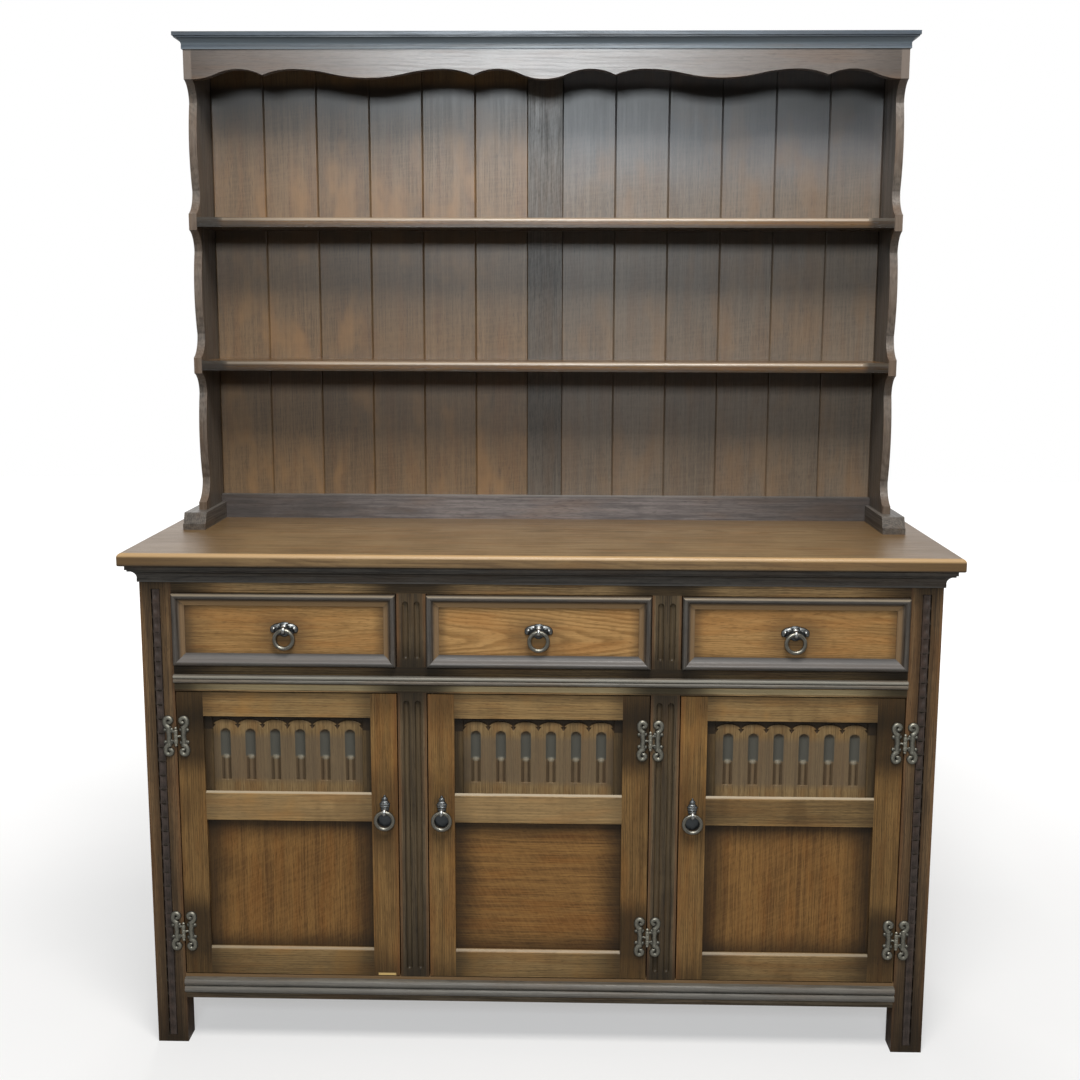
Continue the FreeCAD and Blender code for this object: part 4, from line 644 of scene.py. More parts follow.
# Drawers: an oak front with a mitred moulding glued round its edge, on a dovetailed box of pale wood
# with a thin bottom. The fronts are cut from the flat of the tree, so their rings make long arrows.
FRONT_TONES = ((0.205, 0.108, 0.036), (0.370, 0.212, 0.080))
FRONT_EDGE = (0.034, 0.024, 0.016)
DRAWER_BAYS = {"left": -BAY_PITCH, "middle": 0.0, "right": BAY_PITCH}
FRONT_FIGURES = {"left": (0.010, 0.030, 0.0030, 0.93, 0.20), "middle": (-0.012, 0.060, 0.0045, 1.04, 0.44),
                 "right": (0.030, -0.030, 0.0035, 0.94, 0.24)}
PULL_SPAN = (0.712, 0.742)
MOULDING_WIDTH = 0.020
# A highlight painted along the top of each drawer's moulding.
GOLD_HIGHLIGHT = (0.270, 0.215, 0.145)
MOULDING_BROWN = (0.255, 0.155, 0.072)
INNER_EDGE = (0.009, 0.015)
# A grey sheen painted on the upward slope of the moulding's lower member.
SILL_SHEEN = (0.170, 0.160, 0.155)
SIDE_THICKNESS = 0.0105


def on_upright(spot, low, high):
    """True on the two upright pieces of a drawer's moulding, past its mitres."""
    from_ends = min(spot.x - low.x, high.x - spot.x)
    from_edges = min(spot.z - low.z, high.z - spot.z)
    return int(from_ends < from_edges)


mitre = Vector((MOULDING_WIDTH, 0.0, MOULDING_WIDTH))
near, far = INNER_EDGE
for drawer, bay in DRAWER_BAYS.items():
    low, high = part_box(f"drawer_{drawer}_front")
    inner_low = low + mitre
    inner_high = high - mitre
    rise, slope, ring, shade, figure = FRONT_FIGURES[drawer]
    front_washes = [
        *ends("X", inner_low.x, inner_high.x, 0.020, FRONT_EDGE, 0.50),
        (FRONT_EDGE, 0.25, ("Z", inner_high.z - 0.008, inner_high.z)),
        (FRONT_EDGE, 0.30, ("Z", inner_low.z + 0.008, inner_low.z)),
        (FRONT_EDGE, 0.50, *around("X", bay, 0.012, 0.055), *between("Z", *PULL_SPAN, 0.030)),
    ]
    if drawer == "left":
        front_washes.append((FRONT_EDGE, 0.55, ("X", inner_low.x + 0.070, inner_low.x - 0.010)))
    heart = (0.0, face + 0.030, (inner_low.z + inner_high.z) / 2 + rise)
    stain(f"drawer_{drawer}_front", f"{drawer}_drawer_front_oak", "X", shaded(FRONT_TONES, shade), heart,
          ring=ring, figure=figure, slope=slope, sway=0.016, washes=front_washes, gloss=0.40)

    low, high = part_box(f"drawer_{drawer}_moulding")
    # painted sheen on the front of the moulding
    ridge = (PAINTED_SHEEN, 0.10, ("Y", low.y + 0.0020, low.y))
    across_washes = [
        ridge,
        # painted highlight along the top edge
        (GOLD_HIGHLIGHT, 0.55, ("Z", high.z - 0.0045, high.z - 0.0020), ("Y", low.y + 0.005, low.y + 0.001)),
        (MOULDING_BROWN, 0.85, ("Z", high.z - near, high.z - far),
         ("Z", low.z + MOULDING_WIDTH, low.z + 2 * MOULDING_WIDTH)),
        # painted sheen on the upward slope of the lower member
        (SILL_SHEEN, 0.55, *between("Z", low.z + 0.008, low.z + 0.018, 0.004)),
    ]
    upright_washes = [ridge]
    for end, way in ((low.x, 1), (high.x, -1)):
        upright_washes.append((MOULDING_BROWN, 0.55, ("X", end + way * near, end + way * far),
                               ("X", bay, bay - way * BAY_HALF / 2)))
    heart = (bay, face, 0.60)
    across = oak(f"{drawer}_drawer_moulding_oak", "X", MOULDING_TONES, heart, washes=across_washes,
                 gloss=WAXED)
    upright = oak(f"{drawer}_drawer_moulding_side_oak", "Z", MOULDING_TONES, heart, washes=upright_washes,
                  gloss=WAXED)
    dress(f"drawer_{drawer}_moulding", [across, upright], lambda spot: on_upright(spot, low, high))

    low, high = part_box(f"drawer_{drawer}_box")
    box_side = oak(f"{drawer}_drawer_side_wood", "Y", PLAIN_TONES, (bay + 0.1, 0.0, 0.80), gloss=PLANED)
    box_cross = oak(f"{drawer}_drawer_bottom_wood", "X", PLAIN_TONES, (0.0, 0.15, 0.60), gloss=PLANED)
    dress(f"drawer_{drawer}_box", [box_side, box_cross],
          lambda spot: int(low.x + SIDE_THICKNESS < spot.x < high.x - SIDE_THICKNESS))

# Doors: a frame of two stiles and three rails, tenoned together, with a carved arcade over a plain
# panel. The middle of each piece is left orange brown, and the stain is sprayed darker at the joints
# and round the hinges. The dark in the bottom of the carving is painted shade.
DOOR_TONES = ((0.096, 0.053, 0.019), (0.228, 0.128, 0.045))
DOOR_RAIL_TONES = ((0.150, 0.094, 0.040), (0.290, 0.182, 0.075))
DOOR_RAIL_PALE = (0.420, 0.290, 0.150)
DOOR_ORANGE = (0.330, 0.165, 0.042)
DOOR_BROWN = (0.085, 0.046, 0.018)
MOTTLE = ((DOOR_ORANGE, 0.40, (warm_patches, 0.52, 0.72)), (DOOR_BROWN, 0.40, (warm_patches, 0.48, 0.30)))
MID_RAIL_TINTS = {"left": (DOOR_RAIL_PALE, 0.10), "middle": (DOOR_RAIL_PALE, 0.14), "right": (DARK_STAIN_AND_SHADE, 0.36)}
DOOR_MID_RAIL = (0.410, 0.446)
SILL_CREAM = (0.360, 0.300, 0.210)
SILLS = ((0.75, 0.4505, 0.4560), (0.45, 0.1725, 0.1780))
BARE_WOOD = (0.620, 0.430, 0.170)
PANEL_CUTS = {"left": ("Z", 0.97), "middle": ("X", 1.12), "right": ("Z", 1.02)}
PANEL_HIDDEN = 0.008
DOOR_STILE_WIDTH = 0.044
HINGE_HEIGHTS = (0.550, 0.204)
PULL_HEIGHT = 0.415
DOOR_HINGE_WAY = {"left": -1, "middle": 1, "right": 1}

for door, way in DOOR_HINGE_WAY.items():
    low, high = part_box(f"door_{door}_frame")
    inner_low = low.x + DOOR_STILE_WIDTH
    inner_high = high.x - DOOR_STILE_WIDTH
    bay = (low.x + high.x) / 2
    hinge_inner = inner_high if way > 0 else inner_low
    pull_edge = low.x if way > 0 else high.x
    pull_inner = inner_low if way > 0 else inner_high
    on_hinge_stile = ("X", hinge_inner - way * 0.002, hinge_inner)
    on_pull_stile = ("X", pull_inner + way * 0.002, pull_inner)
    stile_washes = [
        *MOTTLE,
        (DARK_STAIN_AND_SHADE, 0.12, on_hinge_stile),
        (DARK_STAIN_AND_SHADE, 0.75, ("Z", high.z - 0.090, high.z - 0.030), on_hinge_stile),
        (DARK_STAIN_AND_SHADE, 0.45, ("Z", high.z - 0.070, high.z - 0.010), on_pull_stile),
        (DARK_STAIN_AND_SHADE, 0.50, ("Z", low.z + 0.060, low.z)),
        (RUBBED_RED, 0.35, ("X", pull_edge + way * 0.010, pull_edge)),
        (DARK_STAIN_AND_SHADE, 0.35, *between("Z", PULL_HEIGHT - 0.030, PULL_HEIGHT + 0.040, 0.060), on_pull_stile),
        *[(DARK_STAIN_AND_SHADE, 0.75, *around("Z", height, 0.030, 0.050), on_hinge_stile) for height in HINGE_HEIGHTS],
    ]
    if door == "left":
        stile_washes.append((BARE_WOOD, 0.85, *between("X", pull_edge - 0.036, pull_edge - 0.008, 0.002),
                             ("Z", low.z + 0.0050, low.z + 0.0035)))
    stile_oak = oak(f"{door}_door_stile_oak", "Z", DOOR_TONES, (bay + 0.03, face + 0.07, 0.0), ring=0.0035,
                    slope=0.012, washes=stile_washes)
    on_chamfer = (("Y", low.y + 0.0005, low.y + 0.0015), ("Y", low.y + 0.0060, low.y + 0.0045))
    rail_washes = [
        *MOTTLE,
        *ends("X", inner_low - 0.010, inner_high + 0.010, 0.050, DARK_STAIN_AND_SHADE, 0.55),
        (DARK_STAIN_AND_SHADE, 0.25, ("Z", low.z + 0.060, low.z + 0.010)),
        *[(DARK_STAIN_AND_SHADE, 0.45, ("X", corner + inward * 0.100, corner), ("Z", low.z + 0.060, low.z + 0.040))
          for corner, inward in ((inner_low, 1), (inner_high, -1))],
        (DARK_STAIN_AND_SHADE, 0.08, ("Z", high.z - 0.055, high.z - 0.035)),
        (DARK_STAIN_AND_SHADE, 0.50, ("Z", high.z - 0.016, high.z - 0.001)),
        (*MID_RAIL_TINTS[door], *between("Z", *DOOR_MID_RAIL, 0.006)),
        *[(SILL_CREAM, strength, *on_chamfer, *between("Z", *sill, 0.0025)) for strength, *sill in SILLS],
    ]
    rail_oak = oak(f"{door}_door_rail_oak", "X", DOOR_RAIL_TONES, (0.0, face + 0.05, 0.47), ring=0.004,
                   slope=0.015, washes=rail_washes)
    dress(f"door_{door}_frame", [stile_oak, rail_oak], lambda spot: int(inner_low < spot.x < inner_high))

    low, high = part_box(f"door_{door}_plain_panel")
    panel_washes = [
        *ends("X", low.x + PANEL_HIDDEN, high.x - PANEL_HIDDEN, 0.055, DARK_STAIN_AND_SHADE, 0.80),
        (DARK_STAIN_AND_SHADE, 0.80, ("Z", high.z - PANEL_HIDDEN - 0.045, high.z - PANEL_HIDDEN)),
        (DARK_STAIN_AND_SHADE, 0.65, ("Z", low.z + PANEL_HIDDEN + 0.040, low.z + PANEL_HIDDEN)),
    ]
    grain, shade = PANEL_CUTS[door]
    stain(f"door_{door}_plain_panel", f"{door}_plain_panel_oak", grain, shaded(PANEL_TONES, shade),
          (bay + 0.3, face + 0.05, 0.10), ring=0.0045, figure=0.12, slope=0.02, fleck=0.16,
          washes=panel_washes)

# Carved panels: one in the head of each door, an arcade of six round arches. Each arch is a gouged
# hollow with a reed left standing in its foot, and the ground is cut away between the arch heads.
# A grey sheen is painted in the hollows, shade in the cuts and under the top rail, and a highlight
# on each reed tip.
CARVED_TONES = ((0.112, 0.069, 0.030), (0.222, 0.146, 0.066))
CARVED_GREY = (0.104, 0.077, 0.050)
# Painted sheen in the flute hollows, painted shade in the cuts, and a painted highlight on the reed tips.
HOLLOW_SHEEN = (0.060, 0.063, 0.056)
CUT_SHADE = (0.022, 0.014, 0.010)
REED_TIP_HIGHLIGHT = (0.200, 0.195, 0.155)
CARVING_STEP = 0.0009
ARCADE_HALF = 0.1255
ARCH_PITCH = 2 * ARCADE_HALF / 6
ARCH_HALF = ARCH_PITCH / 2
ARCH_SPRING = 0.5655
ARCH_RISE = 0.0130
GROUND_DEPTH = 0.0025
GROUND_WALL = (ARCADE_HALF - 0.0005, ARCADE_HALF + 0.0010)
CHIP_FOOT = 0.5615
CHIP_HEAD = 0.5705
CHIP_HALF = 0.0056
CHIP_DEPTH = 0.0034
CHIP_WALL = 0.0022
SPANDREL_DEPTH = 0.004
SPANDREL_WALL = (1.0, 1.06)
LINE_HALF = 0.0015
LINE_DEPTH = 0.0005
FLUTE_HALF = 0.0085
FLUTE_DEPTH = 0.005
FLUTE_FOOT = 0.474
FLUTE_HEAD = 0.5545
FLUTE_SWEEP = (FLUTE_HALF ** 2 + FLUTE_DEPTH ** 2) / (2 * FLUTE_DEPTH)
REED_HALF = 0.005
REED_HEAD = 0.516
REED_SINK = 0.0005
TOOL_MARK = 0.00015
TOOL_MARKS_ACROSS = 160.0
TOOL_MARKS_UP = 60.0
PANEL_TONGUE = 0.0075


def carved_depth(x, z):
    """How deep the carving is at x from the middle of a panel and at height z."""
    marks = TOOL_MARK * noise.noise((x * TOOL_MARKS_ACROSS, z * TOOL_MARKS_UP, 0.0))
    depth = GROUND_DEPTH * eased(abs(x), *GROUND_WALL)
    if abs(x) > ARCADE_HALF:
        return depth + marks * (depth > 0.0)
    across = (x + ARCADE_HALF) % ARCH_PITCH - ARCH_HALF
    from_line = ARCH_HALF - abs(across)
    if z > ARCH_SPRING:
        outside = math.hypot(across / ARCH_HALF, (z - ARCH_SPRING) / ARCH_RISE)
        depth = max(depth, SPANDREL_DEPTH * eased(outside, *SPANDREL_WALL))
    elif z > FLUTE_FOOT:
        depth = max(depth, LINE_DEPTH * eased(from_line, LINE_HALF, 0.0))
    if CHIP_FOOT < z < CHIP_HEAD:
        chip_half = CHIP_HALF * (z - CHIP_FOOT) / (CHIP_HEAD - CHIP_FOOT)
        depth = max(depth, CHIP_DEPTH * eased(from_line, chip_half, chip_half - CHIP_WALL))
    off_flute = math.hypot(across, max(0.0, z - FLUTE_HEAD))
    if z > FLUTE_FOOT and off_flute < FLUTE_HALF:
        depth = math.sqrt(FLUTE_SWEEP ** 2 - off_flute ** 2) - FLUTE_SWEEP + FLUTE_DEPTH
        off_reed = math.hypot(across, max(0.0, z - REED_HEAD + REED_HALF))
        if off_reed < REED_HALF:
            depth = min(depth, REED_SINK + REED_HALF - math.sqrt(REED_HALF ** 2 - off_reed ** 2))
    return depth + marks


low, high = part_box("door_left_carved_panel")
carved_master = carved_board("carved_panel_master", high.x - low.x, low.z, high.z, low.y, high.y,
                             CARVING_STEP, carved_depth)
for door in DOOR_HINGE_WAY:
    low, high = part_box(f"door_{door}_carved_panel")
    bay = (low.x + high.x) / 2

    def from_arch_line(finish, start=bay - ARCADE_HALF):
        """How far a point is from the nearest line between two arches."""
        return finish.sum("PINGPONG", finish.sum("SUBTRACT", finish.axes["X"], start), ARCH_HALF)

    on_face = ("Y", high.y - 0.0020, high.y - 0.0040)
    in_arcade = (*around("X", bay, ARCADE_HALF, 0.0005), on_face)
    in_flute = (from_arch_line, ARCH_HALF - FLUTE_HALF - 0.0005, ARCH_HALF - FLUTE_HALF + 0.0005)
    on_reed = (from_arch_line, ARCH_HALF - REED_HALF - 0.0015, ARCH_HALF - REED_HALF + 0.0015)
    sunk = ("Y", low.y + 0.0004, low.y + 0.0022)
    carved_washes = [
        (CARVED_GREY, 0.65, *between("Z", FLUTE_FOOT + 0.006, FLUTE_HEAD - 0.010, 0.016), *in_arcade),
        # painted shade in the chips and in the ground cut away above the arches
        (CUT_SHADE, 0.85, sunk, ("Z", CHIP_FOOT - 0.001, CHIP_FOOT), on_face),
        # painted sheen in the upper part of each flute
        (HOLLOW_SHEEN, 0.85, in_flute, ("Z", REED_HEAD - 0.004, REED_HEAD + 0.002),
         ("Z", FLUTE_HEAD + 0.010, FLUTE_HEAD), *in_arcade),
        # painted shadow under each flute head, and painted shade round the reed
        (CUT_SHADE, 0.55, in_flute, sunk, ("Z", FLUTE_HEAD - 0.001, FLUTE_HEAD + 0.006), *in_arcade),
        (CUT_SHADE, 0.45, in_flute, sunk, *between("Z", FLUTE_FOOT, REED_HEAD - 0.004, 0.001), *in_arcade),
        # painted highlight on each reed tip
        (REED_TIP_HIGHLIGHT, 0.38, on_reed, *between("Z", REED_HEAD - 0.0040, REED_HEAD, 0.0030), *in_arcade),
        # painted shadow of the top rail across the head of the panel
        (DARK_STAIN_AND_SHADE, 0.70, ("Z", high.z - PANEL_TONGUE - 0.016, high.z - PANEL_TONGUE - 0.004)),
        *ends("X", low.x + PANEL_TONGUE, high.x - PANEL_TONGUE, 0.034, DARK_STAIN_AND_SHADE, 0.85),
    ]
    carved_oak = oak(f"{door}_carved_panel_oak", "Z", CARVED_TONES, (bay + 0.2, face + 0.05, 0.0),
                     figure=0.12, washes=carved_washes)
    add_piece(f"{door}_door_carving", carved_master, [(bay, 0.0, 0.0, 1)], carved_oak,
              f"door_{door}", f"door_{door}_carved_panel")
bpy.data.objects.remove(carved_master)

# Door hinges: H-shaped leaves of cast brass with a scroll at each corner, darkened with age to a pewter
# brown and rubbed on the high places. Each leaf is held by slotted screws, and three knuckles turn
# on a pin with a ball at each end. Their sizes are in millimetres: x, y, z and radius.
MILLIMETRE = 0.001
HINGE_TONES = ((0.105, 0.101, 0.085), (0.265, 0.254, 0.208))
HINGE_PROUD = (0.0022, 0.0056)
HINGE_ROUGH = (0.42, 0.56)
HINGE_AXES = {"left": -0.606, "middle": 0.186, "right": 0.606}
BRASS_ROUGH = (0.28, 0.45)
TARNISH_SIZE = (0.005, 0.005, 0.005)
TARNISH_DEPTH = 0.003
TARNISH_RISE = 0.0015
SAND_SIZE = (0.0010, 0.0010, 0.0010)
SAND_HEIGHT = 0.0003
CAST_GRAIN = 0.00048
METAL_CREASE = math.radians(40)
AXIS_OUT = 3.6
KNUCKLE_RADIUS = 3.4
KNUCKLE_LENGTH = 7.7
KNUCKLE_STEP = 8.13
KNUCKLE_BEVEL = 0.6
SPINE = ((11.5, 0.4, -18.0, 4.6), (13.0, 0.6, -9.5, 5.2), (11.5, 0.6, 0.0, 4.8), (13.0, 0.6, 9.5, 5.2),
         (11.5, 0.4, 18.0, 4.6))
SCROLL = ((11.5, 0.0, 14.0, 4.8), (15.0, 0.0, 16.5, 4.6), (18.2, 0.0, 20.4, 4.4), (19.0, -0.2, 26.0, 4.3),
          (16.6, -0.2, 31.2, 4.2), (12.0, -0.2, 32.0, 4.2), (7.8, -0.2, 29.0, 4.2), (7.8, -0.2, 24.8, 4.1),
          (11.0, -0.2, 23.0, 4.0))
LOBES = ((11.4, -0.9, 23.4, 3.2), (18.8, 0.2, 10.5, 3.4), (7.4, 0.2, 11.0, 3.4), (12.6, 1.7, 9.2, 5.6),
         (12.0, 0.4, 1.2, 4.0))
ARM = ((11.0, -0.5, 2.6), (8.5, -0.7, 2.4), (6.0, -1.2, 2.2), (4.0, -2.0, 2.1), (2.2, -3.0, 2.0))
SCREWS = ((12.4, 9.6), (12.4, -9.6))
SCREW_RADIUS = 2.3
SCREW_LENGTH = 2.2
SCREW_FACE = 4.2
SCREW_BEVEL = 0.5
SLOT_WAY = Vector((0.5, 0.0, 0.8))
SLOT_HALF = 0.35


def lump(x, y, z, radius, wide=1.0, thick=1.0, tall=1.0):
    """A rounded lump of metal, in millimetres."""
    bpy.ops.mesh.primitive_uv_sphere_add(segments=24, ring_count=14, radius=radius * MILLIMETRE,
                                         location=Vector((x, y, z)) * MILLIMETRE, scale=(wide, thick, tall))
    return bpy.context.object


def rod(sides, radius, length, spot, turn=0.0):
    """A plain rod, in millimetres, upright unless it is turned about X."""
    bpy.ops.mesh.primitive_cylinder_add(vertices=sides, radius=radius * MILLIMETRE,
                                        depth=length * MILLIMETRE, location=Vector(spot) * MILLIMETRE,
                                        rotation=(turn, 0.0, 0.0))
    return bpy.context.object


def sprig(spots):
    """A tapering stem of metal that follows the spots; the fourth number is its radius there."""
    bpy.ops.curve.primitive_nurbs_path_add()
    stem = bpy.context.object
    line = stem.data.splines[0]
    line.points.add(len(spots) - len(line.points))
    for point, (x, y, z, radius) in zip(line.points, spots):
        point.co = (x * MILLIMETRE, y * MILLIMETRE, z * MILLIMETRE, 1.0)
        point.radius = radius
    line.order_u = 3
    line.use_endpoint_u = True
    stem.data.bevel_depth = MILLIMETRE
    stem.data.bevel_resolution = 4
    stem.data.use_fill_caps = True
    bpy.ops.object.convert(target="MESH")
    return bpy.context.object


def finish_with(piece, kind, **settings):
    """Adds a modifier and applies it."""
    alone(piece)
    change = piece.modifiers.new(kind.lower(), kind)
    for setting, value in settings.items():
        setattr(change, setting, value)
    bpy.ops.object.modifier_apply(modifier=change.name)


def file_off(spot, normal, **side):
    """Cuts the active piece along a plane, drops what lies to one side, and closes the cut."""
    bpy.ops.object.mode_set(mode="EDIT")
    bpy.ops.mesh.select_all(action="SELECT")
    bpy.ops.mesh.bisect(plane_co=spot, plane_no=normal, use_fill=True, **side)
    bpy.ops.object.mode_set(mode="OBJECT")


def cast(name, lumps):
    """One casting from many lumps: melted together, smoothed, and filed flat against the wood."""
    whole = joined(name, lumps)
    finish_with(whole, "REMESH", mode="VOXEL", voxel_size=CAST_GRAIN)
    finish_with(whole, "SMOOTH", factor=0.5, iterations=4)
    file_off((0.0, 0.0, 0.0), (0.0, 1.0, 0.0), clear_outer=True)
    finish_with(whole, "DECIMATE", ratio=0.40)
    bpy.ops.object.shade_smooth()
    return whole


def knuckle(z):
    """One knuckle on the axis of a hinge, with softened ends."""
    barrel = rod(28, KNUCKLE_RADIUS, KNUCKLE_LENGTH, (0.0, -AXIS_OUT, z))
    finish_with(barrel, "BEVEL", width=KNUCKLE_BEVEL * MILLIMETRE, segments=3)
    bpy.ops.object.shade_smooth_by_angle(angle=METAL_CREASE)
    return barrel


def screw_head(x, z):
    """A slotted screw head: a domed disc in two halves with the slot between them."""
    halves = []
    for way in (1, -1):
        disc = rod(24, SCREW_RADIUS, SCREW_LENGTH, (x, SCREW_LENGTH / 2 - SCREW_FACE, z), QUARTER_TURN)
        half = joined("screw_half", [disc])
        finish_with(half, "BEVEL", width=SCREW_BEVEL * MILLIMETRE, segments=2)
        slot_side = (SLOT_WAY * way).normalized()
        slot_wall = Vector((x, 0.0, z)) * MILLIMETRE + slot_side * SLOT_HALF * MILLIMETRE
        file_off(slot_wall, slot_side, clear_inner=True)
        bpy.ops.object.shade_smooth_by_angle(angle=METAL_CREASE)
        halves.append(half)
    return halves


def hinge_leaf(name, arms):
    """A hinge leaf to the right of its pin, with an arm and a knuckle at each of the given heights."""
    lumps = [sprig(SPINE)]
    for up in (1, -1):
        lumps.append(sprig([(x, y, z * up, radius) for x, y, z, radius in SCROLL]))
        lumps += [lump(x, y, z * up, radius) for x, y, z, radius in LOBES]
    for arm in arms:
        lumps.append(sprig([(x, y, arm, radius) for x, y, radius in ARM]))
    casting = cast(name, lumps)
    fittings = [knuckle(arm) for arm in arms]
    for x, z in SCREWS:
        fittings += screw_head(x, z)
    return joined(name, [casting, *fittings])


def old_brass(name, heights, tones, rough=BRASS_ROUGH):
    """Aged brass: dark in the hollows, rubbed bright where it stands proud of the wood."""
    finish = Finish(name)
    deep, proud = (face - height for height in heights)
    tarnish = finish.cloud(TARNISH_SIZE, 3.0)
    height = finish.sum("MULTIPLY_ADD", tarnish, TARNISH_DEPTH, finish.axes["Y"])
    colour = finish.mix(finish.spread(height, deep + TARNISH_RISE, proud + TARNISH_RISE), *tones)
    sand = finish.cloud(SAND_SIZE, 2.0)
    bump = finish.add("ShaderNodeBump", {"Strength": 0.25, "Distance": SAND_HEIGHT, "Height": sand})
    finish.put(finish.shader, {
        "Base Color": colour,
        "Metallic": 1.0,
        "Roughness": finish.spread(tarnish, *MIDDLING, *rough),
        "Normal": bump.outputs["Normal"],
    })
    return finish.material


hinge_brass = old_brass("hinge_brass", HINGE_PROUD, HINGE_TONES, HINGE_ROUGH)
carcase_leaf = hinge_leaf("carcase_leaf_master", (KNUCKLE_STEP, -KNUCKLE_STEP))
door_leaf = hinge_leaf("door_leaf_master", (0.0,))
carcase_spots = []
for door, way in DOOR_HINGE_WAY.items():
    carcase_spots += [(HINGE_AXES[door], face, height, way) for height in HINGE_HEIGHTS]
    door_spots = [(HINGE_AXES[door], face, height, -way) for height in HINGE_HEIGHTS]
    add_piece(f"{door}_door_hinge_castings", door_leaf, door_spots, hinge_brass, f"door_{door}",
              f"door_{door}_hinge_leaves")
add_piece("carcase_hinge_castings", carcase_leaf, carcase_spots, hinge_brass, "carcase",
          "carcase_hinge_leaves")
dress("hinge_pins", [hinge_brass])
for master in (carcase_leaf, door_leaf):
    bpy.data.objects.remove(master)

# Drawer pulls: a winged back plate of cast brass with a tablet on top, a stud on each wing and an eye
# in the middle, pinned through the drawer front. A ring, thicker at its foot, swings in the eye.
# Lumps give x, y, z and radius in millimetres, then how wide, thick and tall they are drawn out.
PULL_TONES = ((0.075, 0.080, 0.083), (0.330, 0.330, 0.315))
PULL_PROUD = (0.0024, 0.0060)
RING_TONES = ((0.045, 0.042, 0.036), (0.190, 0.180, 0.152))
RING_PROUD = (0.0070, 0.0112)
PLATE = ((0.0, 0.0, 0.0, 11.0, 1.90, 0.32), (0.0, -0.4, 8.8, 4.0, 2.3, 0.80), (0.0, -3.0, 5.6, 3.4, 1.5),
         (0.0, -0.6, -9.4, 3.4, 1.8, 0.70))
WING = ((7.0, -0.3, 6.5, 4.4), (12.0, -0.3, 6.2, 4.3), (17.0, -0.3, 4.4, 4.0), (20.4, -0.3, 1.2, 3.6),
        (20.2, -0.3, -2.4, 3.0))
WING_LUMPS = ((18.6, -0.4, -1.4, 4.6, 1.0, 0.8), (17.0, -3.4, 1.6, 2.5), (11.0, -2.6, 4.4, 2.4, 1.3),
              (11.4, -0.6, -6.8, 4.2, 1.0, 0.70))
EYE_OUT = 8.2
EYE_HEIGHT = 0.7345
EYE_RADIUS = 4.9
EYE_WIRE = 1.5
EYE_STRETCH = 1.9
RING_RADIUS = 15.4
RING_TUBE = 2.7
RING_SWELL = 0.6
RING_FOOT = 1.4 * RING_TUBE
SWELL_REACH = 1.7


def hoop(steps, sides, radius, wire, spot, turn):
    """A hoop of round wire, in millimetres, turned as given."""
    bpy.ops.mesh.primitive_torus_add(major_segments=steps, minor_segments=sides,
                                     major_radius=radius * MILLIMETRE, minor_radius=wire * MILLIMETRE,
                                     location=Vector(spot) * MILLIMETRE, rotation=turn)
    return bpy.context.object


def eye():
    """The lug that a ring hangs in: a thick loop with its hole along X, and a knob in front."""
    loop = hoop(40, 16, EYE_RADIUS, EYE_WIRE, (0.0, -EYE_OUT, 0.0), (0.0, QUARTER_TURN, 0.0))
    loop.scale = (1.0, 1.0, EYE_STRETCH)
    return [loop, lump(0.0, -12.6, 0.6, 1.9, wide=1.3, tall=1.2), lump(0.0, -2.6, 0.0, 3.4, wide=1.2)]


def pull_ring(name, radius):
    """A ring that hangs from its eye at the origin, thicker at the foot than at the top."""
    facing = (QUARTER_TURN, 0.0, 0.0)
    ring = joined(name, [hoop(72, 18, radius, RING_TUBE, (0.0, -EYE_OUT, -radius), facing)])
    foot = Vector((0.0, -EYE_OUT, -2 * radius)) * MILLIMETRE
    for vertex in ring.data.vertices:
        vertex.select = (vertex.co - foot).length < RING_FOOT * MILLIMETRE
    bpy.ops.object.mode_set(mode="EDIT")
    bpy.ops.transform.shrink_fatten(value=RING_SWELL * MILLIMETRE, use_proportional_edit=True,
                                    proportional_edit_falloff="SMOOTH",
                                    proportional_size=SWELL_REACH * radius * MILLIMETRE)
    bpy.ops.object.mode_set(mode="OBJECT")
    bpy.ops.object.shade_smooth()
    return ring


plate_lumps = [lump(*size) for size in PLATE] + eye()
for way in (1, -1):
    plate_lumps.append(sprig([(x * way, y, z, radius) for x, y, z, radius in WING]))
    plate_lumps += [lump(x * way, *size) for x, *size in WING_LUMPS]
drawer_plate = cast("drawer_plate_master", plate_lumps)
drawer_ring = pull_ring("drawer_ring_master", RING_RADIUS)
plate_brass = old_brass("pull_plate_brass", PULL_PROUD, PULL_TONES)
ring_brass = old_brass("pull_ring_brass", RING_PROUD, RING_TONES)


def hang_pull(kind, which, plate, ring, x, z):
    """Fits a plate and the ring in its eye to a drawer or a door."""
    at_eye = [(x, face, z, 1)]
    body = f"{kind}_{which}"
    add_piece(f"{which}_{kind}_plate_casting", plate, at_eye, plate_brass, body,
              f"{body}_pull_plate")
    add_piece(f"{which}_{kind}_ring_casting", ring, at_eye, ring_brass, f"{body}_ring",
              f"{body}_pull_ring")


for drawer, bay in DRAWER_BAYS.items():
    hang_pull("drawer", drawer, drawer_plate, drawer_ring, bay, EYE_HEIGHT)

# Door pulls: a round back plate with a stepped onion finial over it, cast in one with the eye, and a
# smaller ring that rests round the plate. The finial's lumps give z, radius, and how thick and tall
# they are drawn out.
DOOR_EYE_HEIGHT = 0.423
DOOR_RING_RADIUS = 14.7
PULL_PLACES = {"left": -0.258, "middle": -0.162, "right": 0.258}
FINIAL = ((25.0, 2.2, 1.0, 1.4), (20.6, 5.4, 0.75, 0.85), (15.6, 7.2, 0.66, 0.46), (12.2, 9.4, 0.52, 0.40),
          (8.0, 8.6, 0.56, 0.42), (3.0, 7.4, 0.60, 0.75))
DISC_RADIUS = 13.0
DISC_THICKNESS = 4.4
DISC_BEVEL = 1.0

